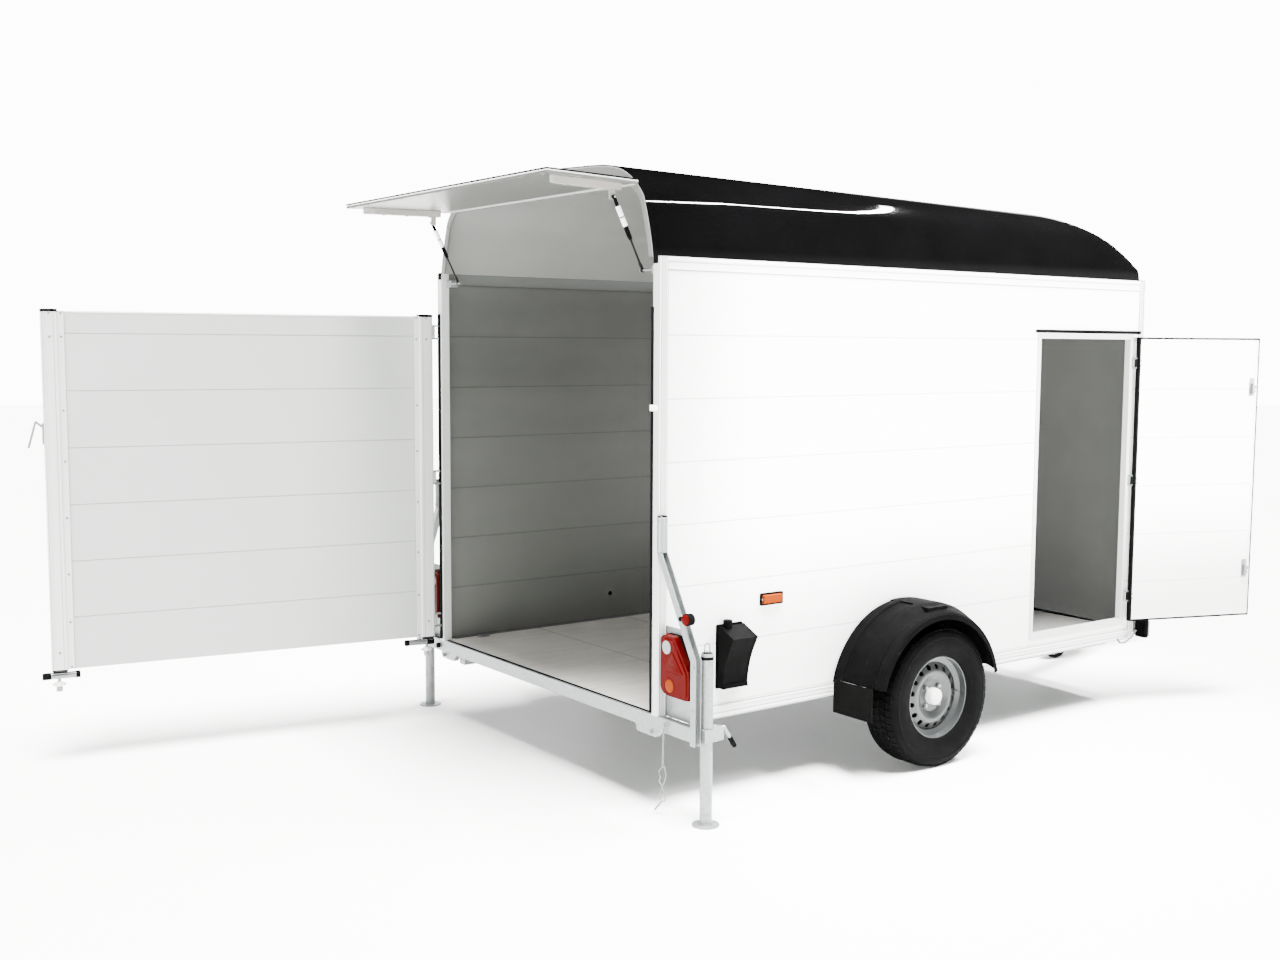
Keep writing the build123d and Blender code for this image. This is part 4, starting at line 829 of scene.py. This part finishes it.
def build_side_door():
    """Lip, screws and outer handles of the side door."""
    hinge = joint_at["side_door_hinge"]
    place = door_frame("side_door_hinge", SIDE_DOOR_HEADING)
    inward = -place.col[1].xyz
    low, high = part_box("side_door_edge")
    bottom, top = low.z, high.z
    near, far, face = 0.010, 0.726, 0.0125
    lip, screws, handles = meshes(3)
    for way in (-1, 1):
        y = span(way, face, face + 0.0022)
        for z in ((bottom + 0.010, bottom + 0.018), (top - 0.018, top - 0.010)):
            block(lip, (near + 0.010, far - 0.010), y, z, place)
        for x in ((near + 0.010, near + 0.018), (far - 0.018, far - 0.010)):
            block(lip, x, y, (bottom + 0.018, top - 0.018), place)
    for z in (bottom + 0.25, top - 0.25):
        for dz in (-0.036, 0.036):
            dome_screw(screws, place @ Vector((far - 0.041, -face - 0.0043, z + dz)), inward, 0.0045, 0.002)
        lathe(screws, [(0.009, 0), (0.009, 0.004), (0.006, 0.006), (0, 0.006)],
              place @ Vector((far - 0.041, -face - 0.017, z - 0.020)), inward, 20)
        prism(handles, rounded(rectangle(far - 0.082, far - 0.022, z - 0.04, z + 0.04), 0.01), 0.0, 0.004,
              place @ Matrix(((1, 0, 0, 0), (0, 0, 1, face), (0, 1, 0, 0), (0, 0, 0, 1))))
        block(handles, (far - 0.066, far - 0.038), (0.0165, 0.028), (z - 0.028, z + 0.012), place)
    for z in (hinge.z, bottom + 0.129, top - 0.129):
        for dz in (-0.012, 0.012):
            dome_screw(screws, place @ Vector((near + 0.012, -face - 0.0022, z + dz)), inward, 0.004, 0.0018)
    piece("side_door_lip", lip, "trim_white", "side_door", 0.0006)
    piece("side_door_screws", screws, "screw_zinc", "side_door")
    piece("side_door_handles", handles, "black_plastic", "side_door", 0.002)


# ---------------------------------------------------------------- hatch and struts
def build_hatch():
    """Edge seal, screws and hinge line of the hatch."""
    low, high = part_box("hatch_panel")
    hinge = joint_at["hatch_hinge"]
    edge, wide, inner = low.x, high.y, 0.765
    seal, screws, line = meshes(3)
    thick = (high.z - 0.0045, high.z + 0.0016)
    block(seal, (edge - 0.0022, edge + 0.010), (-wide, wide), thick)
    for side in SIGNS:
        prism(seal, [(high.x, side * inner), (edge, side * wide), (edge, side * (wide + 0.002)),
                     (high.x, side * (inner + 0.002))][::side], *thick)
        for t in (0.15, 0.5, 0.85):
            hex_bolt(screws, (high.x - 0.06 - 0.31 * t, side * (0.722 + 0.045 * t), low.z - 0.0252), DOWN,
                     0.006, 0.004)
    for k in range(11):
        y = -wide + 0.05 + k * (2 * wide - 0.1) / 10
        dome_screw(screws, (edge + 0.014, y, low.z), DOWN, 0.005, 0.0022)
    for k in range(15):
        lathe(line, [(0.0038, 0), (0.0045, 0.002), (0.0045, 0.096), (0.0038, 0.098)],
              (hinge.x, -0.749 + k * 0.1, hinge.z), ACROSS, 12)
    block(line, (hinge.x - 0.030, hinge.x - 0.004), (-0.75, 0.75), (low.z - 0.0022, low.z - 0.0004))
    piece("hatch_edges", seal, "seal_black", "hatch")
    piece("hatch_screws", screws, "screw_zinc", "hatch")
    piece("hatch_hinge_line", line, "anodised", body="hatch")


def build_strut(word, side):
    """Label bands and collar of the gas strut, and the cap of its foot."""
    top = joint_at[f"strut_{word}_pivot"]
    foot = Vector((REAR + 0.030, top.y, WALL_TOP - 0.047))
    run, radius = foot - top, 0.009
    bands, collar, cap = meshes(3)
    for start, end in ((0.125, 0.262), (0.278, 0.395)):
        reach = (end - start) * run.length
        lathe(bands, [(radius - 0.0003, 0), (radius + 0.0007, 0), (radius + 0.0007, reach),
                      (radius - 0.0003, reach)], top + run * start, run, 24, True)
    lathe(collar, [(0.0046, 0.0), (0.0075, 0.002), (0.0075, 0.008), (0.0046, 0.010)], top + run * 0.545, run,
          20, True)
    lathe(cap, [(0.0075, -0.004), (0.0075, 0.004), (0.003, 0.006), (0, 0.006)],
          foot + Vector((0, -side * 0.0085, 0)), (0, -side, 0), 20)
    piece(f"strut_band_{word}", bands, "knob_white", f"strut_tube_{word}")
    piece(f"strut_collar_{word}", collar, "seal_black", f"strut_tube_{word}")
    piece(f"strut_foot_cap_{word}", cap, "zinc", body=f"strut_rod_{word}")


# ---------------------------------------------------------------- vent hood, guards, stands
def build_vent_hood():
    """The black hood with its hollow front, cheeks, flange, knob and screws."""
    low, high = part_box("vent_hood")
    mesh = bmesh.new()
    sweep = Matrix(((0, 0, 1, 0), (1, 0, 0, 0), (0, 1, 0, 0), (0, 0, 0, 1)))    # an outline of (y, z) along X
    front = [(0.104, 0.664), (0.092, 0.640), (0.074, 0.604), (0.060, 0.566), (0.050, 0.528), (0.044, 0.492),
             (0.042, 0.474)]
    section = [(0.003, 0.455), (0.003, 0.700), (0.018, 0.704)] + front + [(0.047, 0.473), (0.047, 0.455)]
    cheek = ([(0.003, 0.454), (0.003, 0.702), (0.018, 0.706), (0.106, 0.6655)]
             + [(y + 0.002, z) for y, z in front[1:]] + [(0.049, 0.454)])
    for outline, x0, x1 in ((section, low.x, high.x), (cheek, low.x - 0.0015, low.x + 0.004),
                            (cheek, high.x - 0.004, high.x + 0.0015)):
        prism(mesh, [(-HALF - y, z) for y, z in outline], x0, x1, sweep)
    plate(mesh, rectangle(low.x - 0.007, high.x + 0.007, 0.449, 0.710), 0.008, (0.0, 0.003), (0, -HALF, 0),
          (0, -1, 0), ALONG)
    lathe(mesh, [(0.019, 0), (0.019, 0.028), (0.017, 0.031), (0.011, 0.031), (0.010, 0.024), (0, 0.024)],
          (low.x + 0.035, -HALF - 0.024, 0.698), UP, 24)
    for z in (0.46, 0.70):
        for x in (low.x - 0.003, high.x + 0.003):
            dome_screw(mesh, (x, -HALF - 0.003, z), (0, -1, 0), 0.003, 0.0015)
    piece("vent_hood_shell", mesh, "hood_black", bevel=0.0015, replaces=("vent_hood",),
          sharp=30)


def build_guards_and_stands():
    """Sleeves and bolts of the light guards, caps and welds of the stands, plugs of their clamps."""
    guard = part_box("light_guards")[0].x
    clamp_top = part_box("stand_clamps")[1].z
    bent = Vector((0.054, 0, -0.085)).normalized()
    sleeves, caps, plugs, grips = meshes(4)
    for word, side in SIDES:
        spot = Vector((REAR + 0.009, side * 0.9013, 1.024))
        lathe(sleeves, [(0.0140, 0), (0.0205, 0.004), (0.0205, 0.136), (0.0190, 0.1375)], spot, UP, 30)
        lathe(caps, [(0.0190, 0.1375), (0.0190, 0.1410), (0.0150, 0.1425), (0, 0.1425)], spot, UP, 30)
        for z in (0.45, 0.62):
            hex_bolt(sleeves, (guard, side * STAND_Y, z), BACK, 0.0060, 0.004)
        for z in (1.045, 1.145):
            hex_bolt(sleeves, (spot.x - 0.0205, spot.y, z), BACK, 0.0045, 0.003)

        body = f"prop_stand_{word}"
        low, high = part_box(body)
        centre = Vector(((low.x + high.x) / 2, (low.y + high.y) / 2, 0))
        cap, weld = meshes(2)
        lathe(cap, [(0.0245, 0.641), (0.0249, 0.642), (0.0249, 0.652), (0.0245, 0.653)], centre, UP, 32)
        lathe(cap, [(0.0205, high.z - 0.002), (0.0205, high.z + 0.0015), (0, high.z + 0.0015)], centre, UP, 32)
        piece(f"stand_cap_{word}", cap, "seal_black", body)
        lathe(weld, [(0.026, 0.006), (0.0275, 0.007), (0.0252, 0.012)], centre, UP, 32)
        tube(weld, circle(centre + Vector((0, 0, 0.683)), (0.013, 0, 0), (0, 0, 0.020), 24), 0.0028, 8, True)
        diagonal = 0.040 * math.sqrt(0.5)
        for screw in circle(centre + Vector((0, 0, 0.006)), (diagonal, diagonal, 0),
                            (-diagonal, diagonal, 0), 4):
            dome_screw(weld, screw, UP, 0.004, 0.0015)
        piece(f"stand_weld_{word}", weld, "galvanised", body=body)

        x, y = REAR + 0.062, side * STAND_Y
        lathe(grips, [(0.0088, 0), (0.0098, 0.004), (0.0098, 0.044), (0.0075, 0.049), (0, 0.049)],
              Vector((x + 0.084, y, clamp_top - 0.005)) + bent * 0.055, bent, 20)
        block(plugs, (x + 0.054, x + 0.058), (y - 0.0215, y + 0.0215), (clamp_top - 0.044, clamp_top - 0.0045))
    piece("guard_sleeves", sleeves, "galvanised")
    piece("guard_caps", caps, "seal_black")
    piece("clamp_plugs", plugs, "seal_black")
    piece("clamp_grips", grips, "seal_black")


# ---------------------------------------------------------------- sill chain and socket
def build_chain():
    """Fine chain with a spring clip, a ring and the pin on its end; the socket on the sill's end."""
    x, y = REAR - 0.006, -0.932
    path = [Vector(p) for p in ((x, -0.940, 0.361), (x - 0.002, -0.937, 0.29), (x - 0.002, -0.935, 0.20))]
    mesh = bmesh.new()
    links = 15
    for k in range(links):
        t = k / (links - 1) * (len(path) - 1)
        i = min(int(t), len(path) - 2)
        way = (path[i + 1] - path[i]).normalized()
        across = Vector(ALONG if k % 2 else ACROSS)
        across = (across - way * across.dot(way)).normalized()
        tube(mesh, circle(path[i].lerp(path[i + 1], t - i), across * 0.0034, way * 0.0085, 12), 0.0012, 6, True)
    clip = [(0.012, 0.198), (-0.010, 0.186), (-0.022, 0.168), (-0.012, 0.150), (-0.020, 0.134),
            (0.004, 0.112), (0.012, 0.096), (0.004, 0.088), (-0.006, 0.100), (0.006, 0.128), (0.020, 0.150),
            (0.024, 0.172), (0.012, 0.198)]
    tube(mesh, [(x - 0.001 * (n % 3), y - dy, z) for n, (dy, z) in enumerate(clip)], 0.0017, 8)
    tube(mesh, circle((x, y, 0.075), (0, -0.019, 0), (0, 0, 0.019), 24), 0.0016, 8, True)
    tube(mesh, [(x, -0.926, 0.057), (x, -0.915, 0.042), (x, -0.900, 0.028), (x, -0.885, 0.012)], 0.0038, 12)
    lathe(mesh, [(0.010, 0), (0.010, 0.006), (0.006, 0.008)], path[0], BACK, 18)
    piece("pin_chain", mesh, "screw_zinc")

    socket, ring, knob = meshes(3)
    start = Vector((REAR - 0.010, HALF + 0.017, 0.350))
    lathe(socket, [(0.0115, 0.008), (0.0115, 0.052)], start, ALONG, 24)
    lathe(ring, [(0.0125, 0.0), (0.0125, 0.010)], start, ALONG, 24)
    lathe(knob, [(0.004, 0), (0.014, 0.002), (0.014, 0.012), (0.010, 0.015), (0, 0.015)],
          start + Vector((0.028, 0, -0.010)), DOWN, 22)
    piece("sill_socket", socket, "zinc")
    piece("sill_socket_end", ring, "seal_black")
    piece("sill_socket_knob", knob, "knob_white")


# ---------------------------------------------------------------- front end
def build_front_end():
    """Rope hook, cable gland, frame bolts and the jockey wheel's discs."""
    hook, gland, bolts, discs = meshes(4)
    tube(hook, [(1.564, -0.885, 0.343), (1.564, -0.905, 0.323), (1.60, -0.908, 0.322), (1.66, -0.908, 0.345),
                (1.696, -0.905, 0.375)], 0.005)
    piece("rope_hook", hook, "zinc")

    lathe(gland, [(0.014, 0), (0.014, 0.010), (0.010, 0.012), (0.010, 0.026), (0.006, 0.028), (0, 0.028)],
          (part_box("front_panel")[1].x - 0.012, 0.22, 0.352), ALONG, 8)
    piece("cable_gland", gland, "black_plastic")

    housing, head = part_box("overrun_housing")[0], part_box("coupling_head")
    for side in SIGNS:
        for dx in (0.05, 0.20):
            hex_bolt(bolts, (housing.x + dx, side * 0.085, housing.z + 0.0145), UP, 0.009, 0.008)
        for dx in (0.03, 0.075):
            hex_bolt(bolts, (head[0].x + dx, side * 0.0285, (head[0].z + head[1].z) / 2 - 0.02), (0, side, 0),
                     0.008, 0.007)
        for x in (REAR + 0.130, REAR + 0.740, FRONT - 0.990, FRONT - 0.440, 0.115, 0.165):
            hex_bolt(bolts, (x, side * 0.738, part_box("chassis_rails")[0].z), DOWN, 0.008, 0.007)
    piece("frame_bolts", bolts, "zinc")

    low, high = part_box("jockey_wheel")
    for way in SIGNS:
        lathe(discs, [(0.066, 0), (0.066, 0.002), (0.060, 0.003), (0.030, 0.0030), (0.024, 0.0034),
                      (0.018, 0.0034)],
              (low + high) / 2 + Vector((0, way * ((high.y - low.y) / 2 - 0.0035), 0)), (0, way, 0), 36)
    piece("jockey_rim_discs", discs, "silver_paint", body="jockey_wheel")


build_roof()
build_body_trims()
build_tail_lamps()
build_small_lamps()
for word, side in SIDES:
    build_wheel(word, side)
    build_strut(word, side)
build_rear_door()
build_side_door()
build_hatch()
build_vent_hood()
build_guards_and_stands()
build_chain()
build_front_end()


# ---------------------------------------------------------------- studio
def make_floor():
    """A pale floor."""
    bpy.ops.mesh.primitive_plane_add(size=80, location=(0, 0, 0))
    floor = bpy.context.object
    floor.name = "studio_floor"
    graph = new_material("studio_floor")
    graph.surface(colour=graph.tones(graph.noise(0.4), (0.80, 0.815, 0.79), (0.82, 0.835, 0.81)),
                  rough=0.45, shine=0.01)
    floor.data.materials.append(FINISHES["studio_floor"])


def make_sky():
    """A studio wall that is bright behind the object and grey elsewhere."""
    world = bpy.data.worlds.new("studio")
    bpy.context.scene.world = world
    graph = Graph(world)
    place = graph.add("ShaderNodeTexCoord", output="Generated")
    height = graph.add("ShaderNodeSeparateXYZ", {"Vector": place}, "Z")
    toward = graph.add("ShaderNodeVectorMath", {0: place, 1: (0.588, 0.809, 0)}, "Value",
                       operation="DOT_PRODUCT")
    facing = graph.spread(toward, 0.0, 1.0, 0.74, 0.86)
    low = graph.spread(height, 1.0, 0.0, 0.25, 0.34)
    bright = graph.maths("MULTIPLY", graph.maths("MULTIPLY", facing, low), 13.0)
    lit = graph.maths("MAXIMUM", bright, graph.maths("MULTIPLY", low, 1.3))
    background = graph.tree.nodes["Background"]
    graph.feed(background.inputs["Color"], (0.985, 1.0, 0.99))
    graph.feed(background.inputs["Strength"], graph.maths("ADD", lit, 0.2))


def add_light(name, kind, direction, place=(0, 0, 0), **settings):
    """A light that shines along a direction."""
    data = bpy.data.lights.new(name, kind)
    for setting, value in settings.items():
        setattr(data, setting, value)
    light = bpy.data.objects.new(name, data)
    light.location = place
    light.rotation_euler = Vector(direction).to_track_quat("-Z", "Y").to_euler()
    bpy.context.scene.collection.objects.link(light)


def make_lights():
    """A soft sun, a narrow strip over the roof, a light for the side wall and a weak one from behind."""
    add_light("sun", "SUN", (0.06, 0.2, -0.98), energy=40, angle=math.radians(26), color=(1.0, 1.0, 0.985))
    for name, place, target, size, power, spread in (
            ("top", (4.2, -1.83, 7), (0.8, -0.785, 2.4), (10, 0.11), 950, 60),
            ("side", (1.2, -6.0, 1.75), (1.2, 0, 1.75), (4.6, 1.8), 250, 10),
            ("rear", (-7.0, 0.0, 1.5), (0, 0, 1.3), (1.6, 1.6), 60, 40)):
        add_light(name, "AREA", Vector(target) - Vector(place), place, shape="RECTANGLE", size=size[0],
                  size_y=size[1], energy=power, spread=math.radians(spread))


def make_camera():
    """The viewing point: from the rear right, a little above half the body's height."""
    data = bpy.data.cameras.new("camera")
    data.sensor_width = 36
    data.lens = 39.70
    data.clip_end = 200
    camera = bpy.data.objects.new("camera", data)
    bpy.context.scene.collection.objects.link(camera)
    yaw, pitch, roll = (math.radians(a) for a in (36.034, -5.340, 0.290))
    forward = Vector((math.sin(yaw) * math.cos(pitch), math.cos(yaw) * math.cos(pitch), math.sin(pitch)))
    level = forward.cross(Vector(UP)).normalized()
    right = level * math.cos(roll) + level.cross(forward) * math.sin(roll)
    camera.location = (-4.5756, -5.1867, 1.8048)
    camera.rotation_euler = Matrix((right, right.cross(forward), -forward)).transposed().to_euler()
    bpy.context.scene.camera = camera


make_floor()
make_sky()
make_lights()
make_camera()
